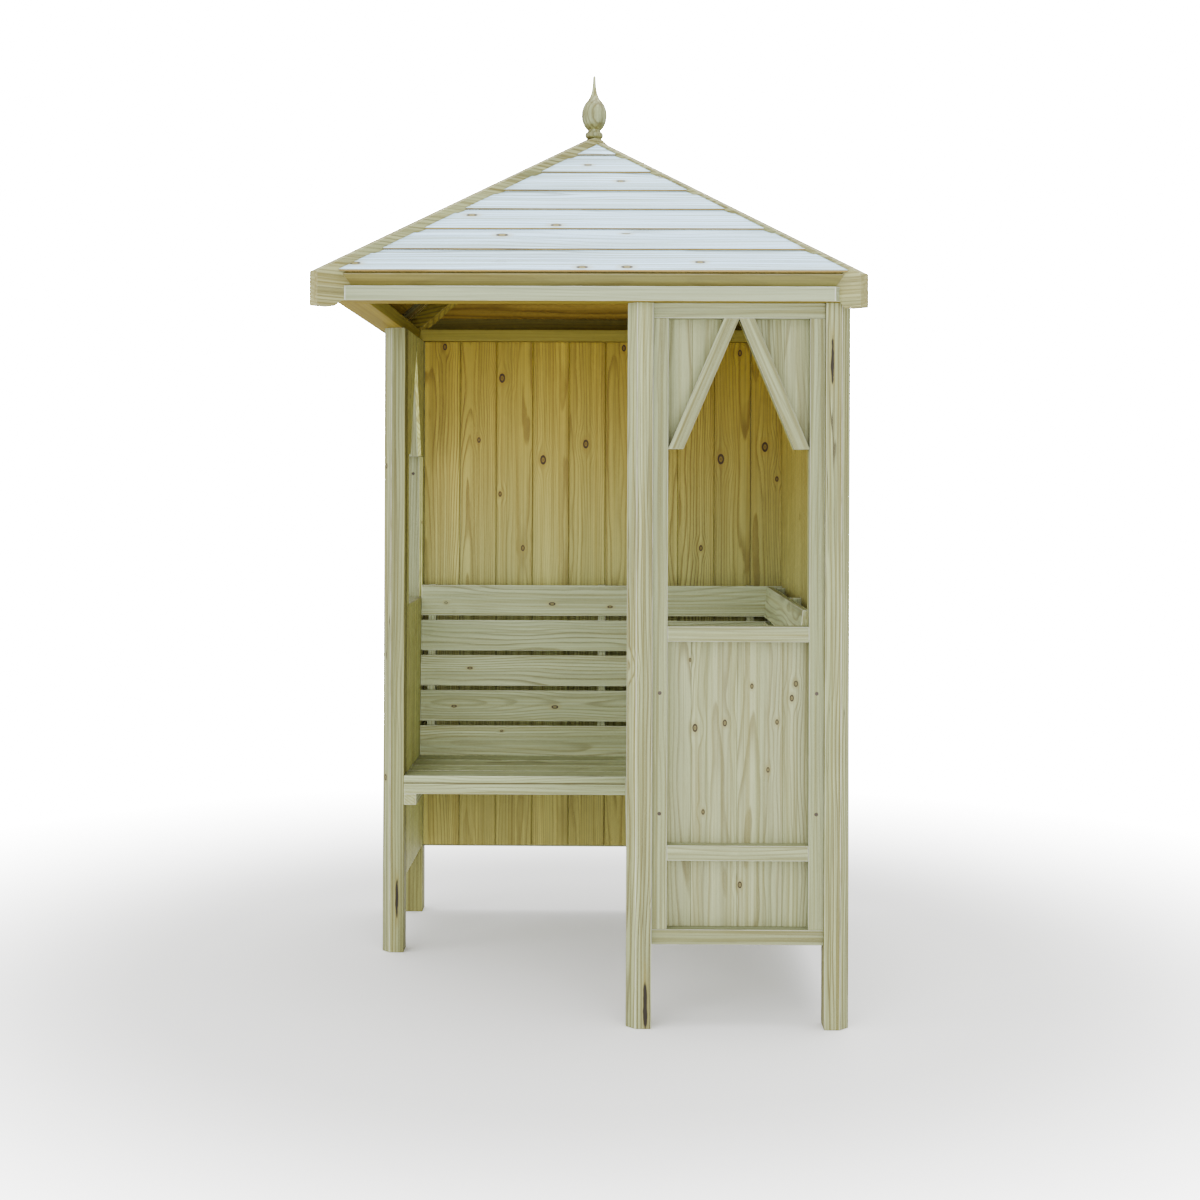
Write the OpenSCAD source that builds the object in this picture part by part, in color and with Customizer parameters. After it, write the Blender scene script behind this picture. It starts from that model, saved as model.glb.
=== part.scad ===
// Garden corner arbour: five posts, four clad walls round an open front corner, an L-shaped
// slatted bench and a square pyramid roof of lapped boards between four hip rafters.
// Origin on the ground under the roof's point. The entrance corner faces -X and -Y.
// But for the bench, whose back half runs through, the plan is the same seen in a mirror through
// the line from the entrance to the back corner.

/* [Plan] */
// Outside size of the square on which the posts stand
frame_size = 1192; // [1160:1:1230]
// How much wider the wall plate is than the posts' square, at each side
plate_over = 4; // [0:1:10]
// How far the roof sits towards the entrance corner, off the middle of the posts
roof_forward = 20; // [0:1:30]
// Clear width of each narrow side panel, between its two posts
panel_w = 406; // [340:1:450]

/* [Posts] */
// Side of a square post
post_w = 60; // [54:1:70]
// Height of the posts
post_h = 1711; // [1600:1:1850]
// Width of the flat planed along the outer corner of each post, measured along a side
post_bevel = 22; // [8:1:24]

/* [Panel framing] */
// Width and thickness of the timber that frames the walls
batten = 36; // [30:1:38]
// Height of the walls' lower edge above the ground
panel_foot = 196; // [120:1:260]
// Height of the underside of the narrow panels' lower rail
lower_rail_z = 394; // [330:1:480]
// Height of the top of the window sill rail
sill_z = 947; // [860:1:1050]
// Height at which the slanting window braces stop
brace_foot_z = 1366; // [1250:1:1450]
// Width of a window brace, measured level
brace_w = 36; // [28:1:44]

/* [Cladding] */
// Thickness of the tongued and grooved boards
clad_t = 10; // [9:0.5:14]
// Width that one cladding board covers
clad_w = 109; // [90:1:140]
// Room left between the edges and ends of neighbouring cladding boards
clad_gap = 0.4; // [0.2:0.1:1]
// Leg of the bevel that makes the V joint on the inner face
clad_v = 2; // [1:0.5:3]
// Length of the tongue
tongue_l = 5; // [3:0.5:7]
// Thickness of the tongue
tongue_t = 3; // [2:0.5:3.5]
// Room round a tongue in its groove
tongue_gap = 0.4; // [0.2:0.1:0.6]
// How far the cladding stops short of the walls' lower edge
clad_lift = 6; // [2:1:12]

/* [Wall plate] */
// Thickness of the wall plate
plate_t = 35; // [28:1:45]
// Width of the wall plate
plate_w = 75; // [65:1:90]
// Width of the flat cut on each corner of the plate for the rafter tail
plate_flat = 36; // [34:1:50]

/* [Roof] */
// Pitch of the roof sides in degrees
pitch = 34.5; // [30:0.5:38]
// Distance of the eaves board's foot from the outside of the plate
eaves_set = 17; // [10:1:24]
// Width of the eaves boards
eaves_w = 34; // [28:1:45]
// Thickness of the eaves boards
eaves_t = 18; // [12:1:24]
// How far the lowest roof board stands past the eaves board
board_nose = 2; // [0:1:8]
// Part of each roof board that shows, measured up the slope
board_show = 110; // [90:1:130]
// How far the lip of each roof board laps over the next one down
board_lap = 10; // [8:1:16]
// Room round the tongue of a roof board, under the lip of the next one up
lap_gap = 0.4; // [0.2:0.1:1]
// Thickness of a roof board
board_thick = 12; // [11:0.5:16]
// Thickness of the tongue along a roof board's upper edge
board_tongue_t = 7; // [5:0.5:8]
// Width of the hollow moulding that runs down from a board's face to its tongue
board_cove_l = 28; // [15:1:35]
// Gap between the ends of the roof boards and the hip rafters
board_gap = 1; // [0.5:0.5:3]
// Width of the battens beside the rafters, under the boards
cleat_w = 30; // [20:1:40]
// Depth of the battens beside the rafters
cleat_d = 25; // [18:1:30]

/* [Hip rafters] */
// Thickness of the hip rafters
rafter_t = 30; // [26:1:34]
// Depth of the hip rafters, square to their slope
rafter_d = 99; // [85:1:110]
// How far the rafters of the pair that runs through stand above the boards, on the hip line
rafter_stand = 13; // [8:1:20]
// How much lower the other pair stands, which butts against the first
rafter_step = 9; // [0:1:12]
// How far the butted pair is set off the diagonal, towards the back corner
rafter_set = 11; // [0:1:12]
// Length of the tails of the first pair beyond the corner flat of the plate
tail_l = 76; // [60:1:100]
// Length of the tails of the butted pair
side_tail_l = 62; // [52:1:100]
// How far the tail hangs below the plate
tail_drop = 16; // [5:1:30]
// Length of the level part under the tail
tail_level = 44; // [20:1:48]
// Height taken off the rafters' tips for the finial to stand on
crown_cut = 5; // [4:0.5:12]

/* [Finial] */
// Height of the finial above the rafters
finial_h = 169; // [140:1:200]
// Largest diameter of the finial's bulb
finial_bulb_d = 68; // [50:1:90]
// Diameter of the ring at the finial's foot
finial_ring_d = 49; // [40:1:60]
// Diameter of the neck over the ring
finial_neck_d = 34; // [24:1:38]
// Diameter of the spindle at the finial's tip
finial_tip_d = 7; // [5:0.5:12]
// Diameter of the dowel under the finial
dowel_d = 12; // [8:1:16]
// Length of the dowel
dowel_l = 40; // [25:1:50]
// Room round the dowel in its hole
dowel_gap = 0.3; // [0.2:0.1:0.6]

/* [Bench] */
// Height of the seat's top
seat_z = 484.5; // [430:0.5:520]
// Width of a seat board
seat_board_w = 90; // [80:1:94]
// Thickness of a seat board
seat_board_t = 20; // [16:1:25]
// Gap between seat boards
seat_gap = 4; // [2:1:6]
// Number of boards across the seat
seat_count = 4; // [3:1:4]
// Height of the rails and bearers under the seat
seat_rail_h = 30; // [24:1:40]
// Width of the rails and bearers under the seat
seat_rail_w = 34; // [26:1:40]

/* [Seat back] */
// Width of a slat in the seat back
slat_w = 90; // [80:1:96]
// Thickness of a slat
slat_t = 18; // [14:1:20]
// Gap between slats
slat_gap = 13.5; // [8:0.5:20]
// Number of slats in the seat back
slat_count = 5; // [3:1:5]
// How far the lowest slat reaches below the top of the seat, behind the seat boards
slat_dip = 2.5; // [0:0.5:8]
// Room at the ends of the slats
slat_end_gap = 1; // [0.5:0.5:3]
// Lean of the back bench's slats in degrees
slat_lean = 4; // [1:0.1:5]
// Lean of the right bench's slats in degrees
side_lean = 5.4; // [1:0.1:6]
// Width of the tapered studs behind the slats
stud_w = 22; // [18:1:40]
// Distance from the corners to the middle of the outer studs
stud_inset = 31; // [25:1:60]

/* [Screws] */
// Diameter of a screw's shank
screw_d = 4; // [3:0.5:5]
// Diameter of a screw's head
screw_head_d = 9; // [7.5:0.5:10]
// Depth of a screw's head
screw_head_t = 3; // [2:0.5:4]
// Length of the screws in the faces of the stiles
screw_short_l = 30; // [20:1:34]
// Length of the screws through the stiles into the posts
screw_long_l = 60; // [45:1:80]
// Room round a screw in its hole
screw_gap = 0.2; // [0.1:0.1:0.4]
// Height of the upper screws on the faces of the stiles
screw_high_z = 790; // [650:1:850]
// Height of the lower screws on the faces of the stiles
screw_low_z = 505; // [450:1:600]
// Height of the screws in the window reveal
screw_reveal_z = 1315; // [1100:1:1330]

/* [Hidden] */
$fn = 48;

post_colour = [0.72, 0.71, 0.60];
frame_colour = [0.74, 0.73, 0.63];
clad_colour = [0.66, 0.62, 0.42];
plate_colour = [0.76, 0.75, 0.68];
roof_colour = [0.86, 0.88, 0.90];
rafter_colour = [0.70, 0.69, 0.54];
bench_colour = [0.64, 0.65, 0.52];
steel_colour = [0.35, 0.34, 0.30];

// Outside size of the wall plate
plate_size = frame_size + 2 * plate_over;
// Plan: lo and hi are the outer faces of the post square, in_lo and in_hi its inner faces
lo = roof_forward - frame_size / 2;
hi = roof_forward + frame_size / 2;
in_lo = lo + post_w;
in_hi = hi - post_w;
// The narrow panel spans pan_lo to pan_hi, and the post beside the entrance starts at gate
pan_hi = in_hi;
pan_lo = in_hi - panel_w;
pan_mid = (pan_lo + pan_hi) / 2;
gate = pan_lo - post_w;
// The framing lies between the cladding and a line just behind the outside of the posts
frame_out = lo + post_w - clad_t - batten;
win_lo = pan_lo + batten;
win_hi = pan_hi - batten;
top_rail_z = post_h - batten;
clad_foot = panel_foot + clad_lift;

// Roof section: s runs up the slope and n square to it, from the eaves
plate_top = post_h + plate_t;
plate_half = plate_size / 2;
eave_r = plate_half - eaves_set + eaves_w * sin(pitch) + board_nose * cos(pitch);
eave_z = plate_top + eaves_w * cos(pitch) - board_nose * sin(pitch);
function slope_pt(s, n) = [
    -(eave_r - s * cos(pitch) + n * sin(pitch)),
    eave_z + s * sin(pitch) + n * cos(pitch)
];
function n_at_plate(s) = (plate_top - eave_z - s * sin(pitch)) / cos(pitch);
courses = ceil(eave_r / cos(pitch) / board_show);
roof_tip_z = eave_z + eave_r * tan(pitch) + board_thick / cos(pitch);
cove_steps = 6;

// Distances of the rafters' faces from the diagonals, at the left and right end of a roof side
front_faces = [rafter_t / 2, rafter_t / 2 - rafter_set];
right_faces = [rafter_t / 2 + rafter_set, rafter_t / 2];

// Hip rafters: r runs out along the diagonal, and the hip falls by hip_fall per unit of r
hip_fall = tan(pitch) / sqrt(2);
hip_top_z = roof_tip_z + rafter_stand;
side_top_z = hip_top_z - rafter_step;
hip_foot_z = hip_top_z - rafter_d / cos(atan(hip_fall));
flat_r = plate_half * sqrt(2) - plate_flat / 2;
tail_z = post_h - tail_drop;
seat_r = (hip_foot_z - plate_top) / hip_fall;
crown_z = hip_top_z - crown_cut;
ogee_steps = 8;

// Bench: the front edge is flush with the posts beside the entrance
seat_front = gate;
seat_back = gate + seat_count * seat_board_w + (seat_count - 1) * seat_gap;
rail_top = seat_z - seat_board_t;
rail_foot = rail_top - seat_rail_h;
bearer_foot = rail_foot - seat_rail_h;
// Seat back: its face passes through the back edge of the seat at slat_foot
slat_foot = seat_z - slat_dip;
back_h = slat_count * slat_w + (slat_count - 1) * slat_gap;
function back_face(z, lean) = seat_back + (z - slat_foot) * tan(lean);

big = 4000;

module box(x, y, z) {
    translate([x[0], y[0], z[0]]) cube([x[1] - x[0], y[1] - y[0], z[1] - z[0]]);
}

// The mirror through the diagonal turns the front panel into the left one, and so on
module swap_xy() {
    mirror([1, -1, 0]) children();
}

module quarter_turns(n) {
    rotate([0, 0, 90 * n]) children();
}

// Extrudes an outline of y and z along x, from x[0] to x[1]
module along_x(x) {
    translate([x[0], 0, 0]) rotate([90, 0, 90]) linear_extrude(x[1] - x[0]) children();
}

// Posts

// A post whose lowest corner in plan is at p, with a flat on the corner that dir points to
module post(p, dir) {
    h = post_w / 2;
    c = h - post_bevel;
    translate([p[0] + h, p[1] + h, 0])
        linear_extrude(post_h)
            polygon([
                [dir[0] * h, dir[1] * c],
                [dir[0] * c, dir[1] * h],
                [-dir[0] * h, dir[1] * h],
                [-dir[0] * h, -dir[1] * h],
                [dir[0] * h, -dir[1] * h]
            ]);
}

module post_front_right() {
    color(post_colour) difference() {
        post([in_hi, lo], [1, -1]);
        panel_screw_set(screw_gap);
    }
}

module post_front_mid() {
    color(post_colour) difference() {
        post([gate, lo], [-1, -1]);
        panel_screw_set(screw_gap);
    }
}

module post_left_mid() {
    color(post_colour) difference() {
        post([lo, gate], [-1, -1]);
        swap_xy() panel_screw_set(screw_gap);
    }
}

module post_back_left() {
    color(post_colour) difference() {
        post([lo, in_hi], [-1, 1]);
        swap_xy() panel_screw_set(screw_gap);
    }
}

module post_back_right() {
    color(post_colour) post([in_hi, in_hi], [1, 1]);
}

// Narrow panels, drawn for the front one and mirrored for the left one

module panel_bar(x, z) {
    box(x, [frame_out, frame_out + batten], z);
}

module panel_stiles() {
    difference() {
        union() {
            panel_bar([pan_lo, win_lo], [panel_foot + batten, top_rail_z]);
            panel_bar([win_hi, pan_hi], [panel_foot + batten, top_rail_z]);
        }
        panel_screw_set(screw_gap);
    }
}

module panel_bottom_rail() {
    panel_bar([pan_lo, pan_hi], [panel_foot, panel_foot + batten]);
}

module panel_lower_rail() {
    panel_bar([win_lo, win_hi], [lower_rail_z, lower_rail_z + batten]);
}

module panel_sill_rail() {
    panel_bar([win_lo, win_hi], [sill_z - batten, sill_z]);
}

module panel_top_rail() {
    panel_bar([pan_lo, pan_hi], [top_rail_z, post_h]);
}

// Two braces that lean together under the top rail, cut level at both ends
module panel_braces() {
    translate([0, frame_out + batten, 0]) rotate([90, 0, 0]) linear_extrude(batten) {
        polygon([
            [win_lo, brace_foot_z],
            [win_lo + brace_w, brace_foot_z],
            [pan_mid, top_rail_z],
            [pan_mid - brace_w, top_rail_z]
        ]);
        polygon([
            [win_hi, brace_foot_z],
            [win_hi - brace_w, brace_foot_z],
            [pan_mid, top_rail_z],
            [pan_mid + brace_w, top_rail_z]
        ]);
    }
}

// The open part of the window, under the inner edges of the braces
module window_outline() {
    polygon([
        [win_lo, sill_z],
        [win_hi, sill_z],
        [win_hi, brace_foot_z],
        [win_hi - brace_w, brace_foot_z],
        [pan_mid, top_rail_z],
        [win_lo + brace_w, brace_foot_z],
        [win_lo, brace_foot_z]
    ]);
}

// Cladding board in plan: x across the board, y from its inner face to its back
module clad_profile() {
    w = clad_w - clad_gap;
    m = clad_t / 2;
    t = tongue_t / 2;
    g = t + tongue_gap / 2;
    d = tongue_l - clad_gap + tongue_gap;
    polygon([
        [clad_v, 0],
        [w - clad_v, 0],
        [w, clad_v],
        [w, m - t],
        [w + tongue_l, m - t],
        [w + tongue_l, m + t],
        [w, m + t],
        [w, clad_t],
        [0, clad_t],
        [0, m + g],
        [d, m + g],
        [d, m - g],
        [0, m - g],
        [0, clad_v]
    ]);
}

// Boards side by side along x, the first at first, kept between x[0] and x[1], for heights z
module clad_boards(x, first, z) {
    count = ceil((x[1] - first) / clad_w);
    for (i = [0 : count - 1])
        translate([first + i * clad_w, 0, z[0]])
            linear_extrude(z[1] - z[0])
                intersection() {
                    clad_profile();
                    translate([x[0] - first - i * clad_w, 0]) square([x[1] - x[0], clad_t]);
                }
}

// Ripped board beside the window, with a groove along its edge at x = edge
module clad_strip(x, edge, z) {
    m = clad_t / 2;
    g = (tongue_t + tongue_gap) / 2;
    difference() {
        box(x, [0, clad_t], z);
        box([edge - tongue_l, edge + tongue_l], [m - g, m + g], [z[0] - 1, z[1] + 1]);
    }
}

// Cladding of a narrow panel, in fields so that each piece is a plain board
module panel_cladding() {
    first = pan_mid - ceil((pan_mid - pan_lo) / clad_w) * clad_w;
    side_z = [sill_z + clad_gap, brace_foot_z - clad_gap];
    translate([0, in_lo, 0]) mirror([0, 1, 0]) {
        clad_boards([pan_lo, pan_hi], first, [clad_foot, sill_z]);
        clad_strip([pan_lo, win_lo], win_lo, side_z);
        clad_strip([win_hi, pan_hi], win_hi, side_z);
        difference() {
            clad_boards([pan_lo, pan_hi], first, [brace_foot_z, post_h]);
            translate([0, clad_t + 1, 0]) rotate([90, 0, 0])
                linear_extrude(clad_t + 2) window_outline();
        }
    }
}

module front_stiles() {
    color(frame_colour) panel_stiles();
}

module front_bottom_rail() {
    color(frame_colour) panel_bottom_rail();
}

module front_lower_rail() {
    color(frame_colour) panel_lower_rail();
}

module front_sill_rail() {
    color(frame_colour) panel_sill_rail();
}

module front_top_rail() {
    color(frame_colour) panel_top_rail();
}

module front_window_braces() {
    color(frame_colour) panel_braces();
}

module front_cladding() {
    color(clad_colour) panel_cladding();
}

module left_stiles() {
    color(frame_colour) swap_xy() panel_stiles();
}

module left_bottom_rail() {
    color(frame_colour) swap_xy() panel_bottom_rail();
}

module left_lower_rail() {
    color(frame_colour) swap_xy() panel_lower_rail();
}

module left_sill_rail() {
    color(frame_colour) swap_xy() panel_sill_rail();
}

module left_top_rail() {
    color(frame_colour) swap_xy() panel_top_rail();
}

module left_window_braces() {
    color(frame_colour) swap_xy() panel_braces();
}

module left_cladding() {
    color(clad_colour) swap_xy() panel_cladding();
}

// Full walls, drawn for the back one and mirrored for the right one

module wall_bar(x, z) {
    box(x, [in_hi + clad_t, in_hi + clad_t + batten], z);
}

module wall_stiles() {
    mid = (in_lo + in_hi) / 2;
    wall_bar([in_lo, in_lo + batten], [panel_foot + batten, top_rail_z]);
    wall_bar([in_hi - batten, in_hi], [panel_foot + batten, top_rail_z]);
    wall_bar([mid - batten / 2, mid + batten / 2], [panel_foot + batten, sill_z - batten]);
    wall_bar([mid - batten / 2, mid + batten / 2], [sill_z, top_rail_z]);
}

module wall_rails() {
    wall_bar([in_lo, in_hi], [panel_foot, panel_foot + batten]);
    wall_bar([in_lo + batten, in_hi - batten], [sill_z - batten, sill_z]);
    wall_bar([in_lo, in_hi], [top_rail_z, post_h]);
}

module wall_cladding() {
    translate([0, in_hi, 0]) clad_boards([in_lo, in_hi], in_lo, [clad_foot, post_h]);
}

module back_stiles() {
    color(frame_colour) wall_stiles();
}

module back_rails() {
    color(frame_colour) wall_rails();
}

module back_cladding() {
    color(clad_colour) wall_cladding();
}

module right_stiles() {
    color(frame_colour) swap_xy() wall_stiles();
}

module right_rails() {
    color(frame_colour) swap_xy() wall_rails();
}

module right_cladding() {
    color(clad_colour) swap_xy() wall_cladding();
}

// Wall plate: four mitred lengths, with a flat across each outer corner

module plate_side() {
    a = plate_half;
    c = plate_flat / sqrt(2);
    b = a - plate_w;
    color(plate_colour) translate([0, 0, post_h])
        linear_extrude(plate_t)
            polygon([
                [c - a, -a],
                [a - c, -a],
                [a - c / 2, c / 2 - a],
                [b, -b],
                [-b, -b],
                [c / 2 - a, c / 2 - a]
            ]);
}

module plate_front() {
    plate_side();
}

module plate_right() {
    quarter_turns(1) plate_side();
}

module plate_back() {
    quarter_turns(2) plate_side();
}

module plate_left() {
    quarter_turns(3) plate_side();
}

// Roof sides. Each is drawn as the front one, with its rafters' faces given by faces

// Plan of one side between the faces of its two hip rafters, less a gap at each
module between_rafters(faces, gap) {
    q = sqrt(2);
    l = faces[0] + gap;
    r = faces[1] + gap;
    translate([0, 0, post_h])
        linear_extrude(big)
            polygon([[(l - r) / q, -(l + r) / q], [big - r * q, -big], [l * q - big, -big]]);
}

module eaves_side(faces) {
    inner = board_nose + eaves_t;
    color(frame_colour) intersection() {
        along_x([-plate_size, plate_size])
            polygon([
                slope_pt(board_nose, n_at_plate(board_nose)),
                slope_pt(board_nose, 0),
                slope_pt(inner, 0),
                slope_pt(inner, n_at_plate(inner))
            ]);
        between_rafters(faces, 0);
    }
}

// Roof board: a lip below, a flat face, and a hollow that runs down to the tongue above
module roof_board(i, faces) {
    s = i * board_show;
    hollow = board_thick - board_tongue_t;
    intersection() {
        along_x([-plate_size, plate_size])
            polygon(concat(
                [
                    slope_pt(s, board_tongue_t + lap_gap),
                    slope_pt(s + board_lap, board_tongue_t + lap_gap),
                    slope_pt(s + board_lap, 0),
                    slope_pt(s + board_show + board_lap - board_gap, 0),
                    slope_pt(s + board_show + board_lap - board_gap, board_tongue_t)
                ],
                [
                    for (k = [0 : cove_steps])
                        let (t = 90 * k / cove_steps)
                            slope_pt(
                                s + board_show - board_cove_l * sin(t),
                                board_thick - hollow * cos(t)
                            )
                ],
                [slope_pt(s, board_thick)]
            ));
        between_rafters(faces, board_gap);
    }
}

module roof_boards_side(faces) {
    color(roof_colour)
        for (i = [0 : courses - 1])
            roof_board(i, faces);
}

// Battens nailed along both rafters to carry the ends of the boards
module roof_battens_side(faces) {
    foot = board_nose + eaves_t;
    start = rafter_t / 2 + rafter_set + 1.3 * cleat_w;
    color(rafter_colour) intersection() {
        along_x([-plate_size, plate_size])
            polygon([
                slope_pt(foot, -cleat_d),
                slope_pt(eave_r / cos(pitch), -cleat_d),
                slope_pt(eave_r / cos(pitch), 0),
                slope_pt(foot, 0)
            ]);
        union() {
            rotate([0, 0, 225])
                translate([start, faces[0], 0]) cube([big, cleat_w, big]);
            rotate([0, 0, 315])
                translate([start, -faces[1] - cleat_w, 0]) cube([big, cleat_w, big]);
        }
    }
}

module eaves_front() {
    eaves_side(front_faces);
}

module eaves_right() {
    quarter_turns(1) eaves_side(right_faces);
}

module eaves_back() {
    swap_xy() eaves_right();
}

module eaves_left() {
    swap_xy() eaves_front();
}

module roof_battens_front() {
    roof_battens_side(front_faces);
}

module roof_battens_right() {
    quarter_turns(1) roof_battens_side(right_faces);
}

module roof_battens_back() {
    swap_xy() roof_battens_right();
}

module roof_battens_left() {
    swap_xy() roof_battens_front();
}

module roof_boards_front() {
    roof_boards_side(front_faces);
}

module roof_boards_right() {
    quarter_turns(1) roof_boards_side(right_faces);
}

module roof_boards_back() {
    swap_xy() roof_boards_right();
}

module roof_boards_left() {
    swap_xy() roof_boards_front();
}

// Hip rafter along +x: a birdsmouth over the corner of the plate, and a moulded tail outside it
module hip_rafter(top, start, tail) {
    end_r = flat_r + tail;
    ogee_l = tail - tail_level;
    rotate([90, 0, 0])
        linear_extrude(rafter_t, center = true)
            polygon(concat(
                [
                    [start, top - hip_fall * start],
                    [end_r, top - hip_fall * end_r],
                    [end_r, tail_z]
                ],
                [
                    for (i = [0 : ogee_steps])
                        let (t = i / ogee_steps)
                            [
                                end_r - tail_level - ogee_l * t,
                                tail_z + tail_drop * (1 - cos(180 * t)) / 2
                            ]
                ],
                [
                    [flat_r, plate_top],
                    [seat_r, plate_top],
                    [start, hip_foot_z - hip_fall * start]
                ]
            ));
}

// Half of the pair that runs through, cut level at the crown and drilled for the finial
module main_rafter() {
    color(rafter_colour) difference() {
        hip_rafter(hip_top_z, 0, tail_l);
        translate([-big / 2, -big / 2, crown_z]) cube(big);
        translate([0, 0, crown_z - dowel_l - dowel_gap])
            cylinder(d = dowel_d + 2 * dowel_gap, h = dowel_l + crown_cut);
    }
}

// Rafter that butts against the side of the pair that runs through
module side_rafter() {
    color(rafter_colour) translate([0, rafter_set, 0])
        hip_rafter(side_top_z, rafter_t / 2, side_tail_l);
}

module hip_rafter_front_left() {
    rotate([0, 0, 225]) main_rafter();
}

module hip_rafter_front_right() {
    rotate([0, 0, 315]) side_rafter();
}

module hip_rafter_back_right() {
    rotate([0, 0, 45]) main_rafter();
}

module hip_rafter_back_left() {
    swap_xy() hip_rafter_front_right();
}

// Turned finial: dowel, ring, cove, bulb and a spindle that flares down into the bulb

module finial() {
    ring_r = finial_ring_d / 2;
    neck_r = finial_neck_d / 2;
    bulb_r = finial_bulb_d / 2;
    tip_r = finial_tip_d / 2;
    ring_h = 0.10 * finial_h;
    bulb_foot = 0.136 * finial_h;
    bulb_mid = 0.367 * finial_h;
    bulb_half = 0.275 * finial_h;
    flare_z = 0.58 * finial_h;
    flare_r = bulb_r * sqrt(1 - pow((flare_z - bulb_mid) / bulb_half, 2));
    flare_l = 0.11 * finial_h;
    tip_z = finial_h - tip_r;
    steps = 12;
    color(post_colour) translate([0, 0, crown_z])
        rotate_extrude()
            polygon(concat(
                [
                    [0, -dowel_l],
                    [dowel_d / 2, -dowel_l],
                    [dowel_d / 2, 0],
                    [ring_r - ring_h / 3, 0]
                ],
                [
                    for (i = [0 : 8])
                        [
                            ring_r - ring_h / 3 + ring_h / 3 * sin(180 * i / 8),
                            ring_h / 2 - ring_h / 2 * cos(180 * i / 8)
                        ]
                ],
                [
                    [neck_r, ring_h + 0.02 * finial_h],
                    [neck_r, bulb_foot]
                ],
                [
                    for (i = [0 : steps])
                        let (z = bulb_foot + (flare_z - bulb_foot) * i / steps)
                            [bulb_r * sqrt(1 - pow((z - bulb_mid) / bulb_half, 2)), z]
                ],
                [
                    for (i = [1 : steps])
                        let (z = flare_z + (tip_z - flare_z) * i / steps)
                            [tip_r + (flare_r - tip_r) * exp((flare_z - z) / flare_l), z]
                ],
                [
                    [tip_r * 0.7, finial_h - tip_r * 0.3],
                    [0, finial_h]
                ]
            ));
}

// Bench

// Seat boards of the back bench, or of the right one where right is true
module seat_boards(x) {
    for (i = [0 : seat_count - 1])
        let (y = seat_front + i * (seat_board_w + seat_gap))
            box(x, [y, y + seat_board_w], [rail_top, seat_z]);
}

module seat_rails(x) {
    box(x, [seat_front, seat_front + seat_rail_w], [rail_foot, rail_top]);
    box(x, [seat_back - seat_rail_w, seat_back], [rail_foot, rail_top]);
}

// One short joist between the front and back rails, starting at x
module seat_joist(x) {
    box(
        [x, x + seat_rail_w],
        [seat_front + seat_rail_w, seat_back - seat_rail_w],
        [rail_foot, rail_top]
    );
}

module seat_boards_back() {
    color(bench_colour) seat_boards([in_lo, in_hi]);
}

module seat_boards_right() {
    color(bench_colour) swap_xy() seat_boards([in_lo, seat_front - seat_gap]);
}

module seat_rails_back() {
    color(bench_colour) seat_rails([in_lo, in_hi]);
}

module seat_rails_right() {
    color(bench_colour) swap_xy() seat_rails([in_lo, seat_front]);
}

module seat_joists() {
    color(bench_colour) {
        seat_joist(in_lo);
        seat_joist((in_lo + seat_front) / 2);
        seat_joist(seat_front);
        seat_joist(in_hi - seat_rail_w);
        swap_xy() {
            seat_joist(in_lo);
            seat_joist((in_lo + seat_front) / 2);
            seat_joist(seat_front - seat_rail_w);
        }
    }
}

// Bearers screwed to the left wall, the front panel and the right wall
module seat_bearers() {
    color(bench_colour) {
        box([in_lo, in_lo + seat_rail_w], [seat_front, in_hi], [bearer_foot, rail_foot]);
        swap_xy()
            box([in_lo, in_lo + seat_rail_w], [seat_front, in_hi], [bearer_foot, rail_foot]);
        box([in_hi - seat_rail_w, in_hi], [seat_front, in_hi], [bearer_foot, rail_foot]);
    }
}

// Seat back

// Slats that lean back, along x, with the front face of the lowest at the back of the seat
module slats(x, lean) {
    for (i = [0 : slat_count - 1])
        translate([x[0], seat_back, slat_foot])
            rotate([-lean, 0, 0])
                translate([0, 0, i * (slat_w + slat_gap)])
                    cube([x[1] - x[0], slat_t, slat_w]);
}

// One stud along y and z, from the back of the slats to the wall, centred on x
module stud(x, lean) {
    t = slat_t / cos(lean);
    top = slat_foot + back_h * cos(lean);
    along_x([x - stud_w / 2, x + stud_w / 2])
        polygon([
            [back_face(seat_z, lean) + t, seat_z],
            [in_hi, seat_z],
            [in_hi, top],
            [back_face(top, lean) + t, top]
        ]);
}

module back_slats() {
    color(bench_colour) slats([in_lo + slat_end_gap, in_hi - slat_end_gap], slat_lean);
}

// The right slats are cut to the lean of the back ones where they meet them, and the lowest
// is planed off below to stand on the seat boards of the back bench
module right_slats() {
    color(bench_colour) difference() {
        swap_xy() slats([in_lo + slat_end_gap, in_hi], side_lean);
        translate([-big / 2, seat_back - slat_end_gap, slat_foot])
            rotate([-slat_lean, 0, 0])
                translate([0, 0, -big / 2]) cube([big, big, big]);
        translate([-big / 2, -big / 2, -big + seat_z]) cube(big);
    }
}

module back_studs() {
    color(bench_colour) {
        stud(in_lo + stud_inset, slat_lean);
        stud((in_lo + in_hi) / 2, slat_lean);
        stud(seat_back, slat_lean);
    }
}

module right_studs() {
    color(bench_colour) swap_xy() {
        stud(in_lo + stud_inset, side_lean);
        stud((in_lo + seat_back) / 2, side_lean);
        stud(seat_back - stud_inset, side_lean);
    }
}

// Screws

// A countersunk screw along -z, with its head level with z = 0, grown by gap for its hole
module screw(l, gap) {
    r = screw_d / 2 + gap;
    rh = screw_head_d / 2 + gap;
    grow = gap > 0 ? 1 : 0;
    rotate_extrude()
        polygon([
            [0, -l - gap],
            [r, -l - gap],
            [r, -screw_head_t],
            [rh, 0],
            [rh, grow],
            [0, grow]
        ]);
}

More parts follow.
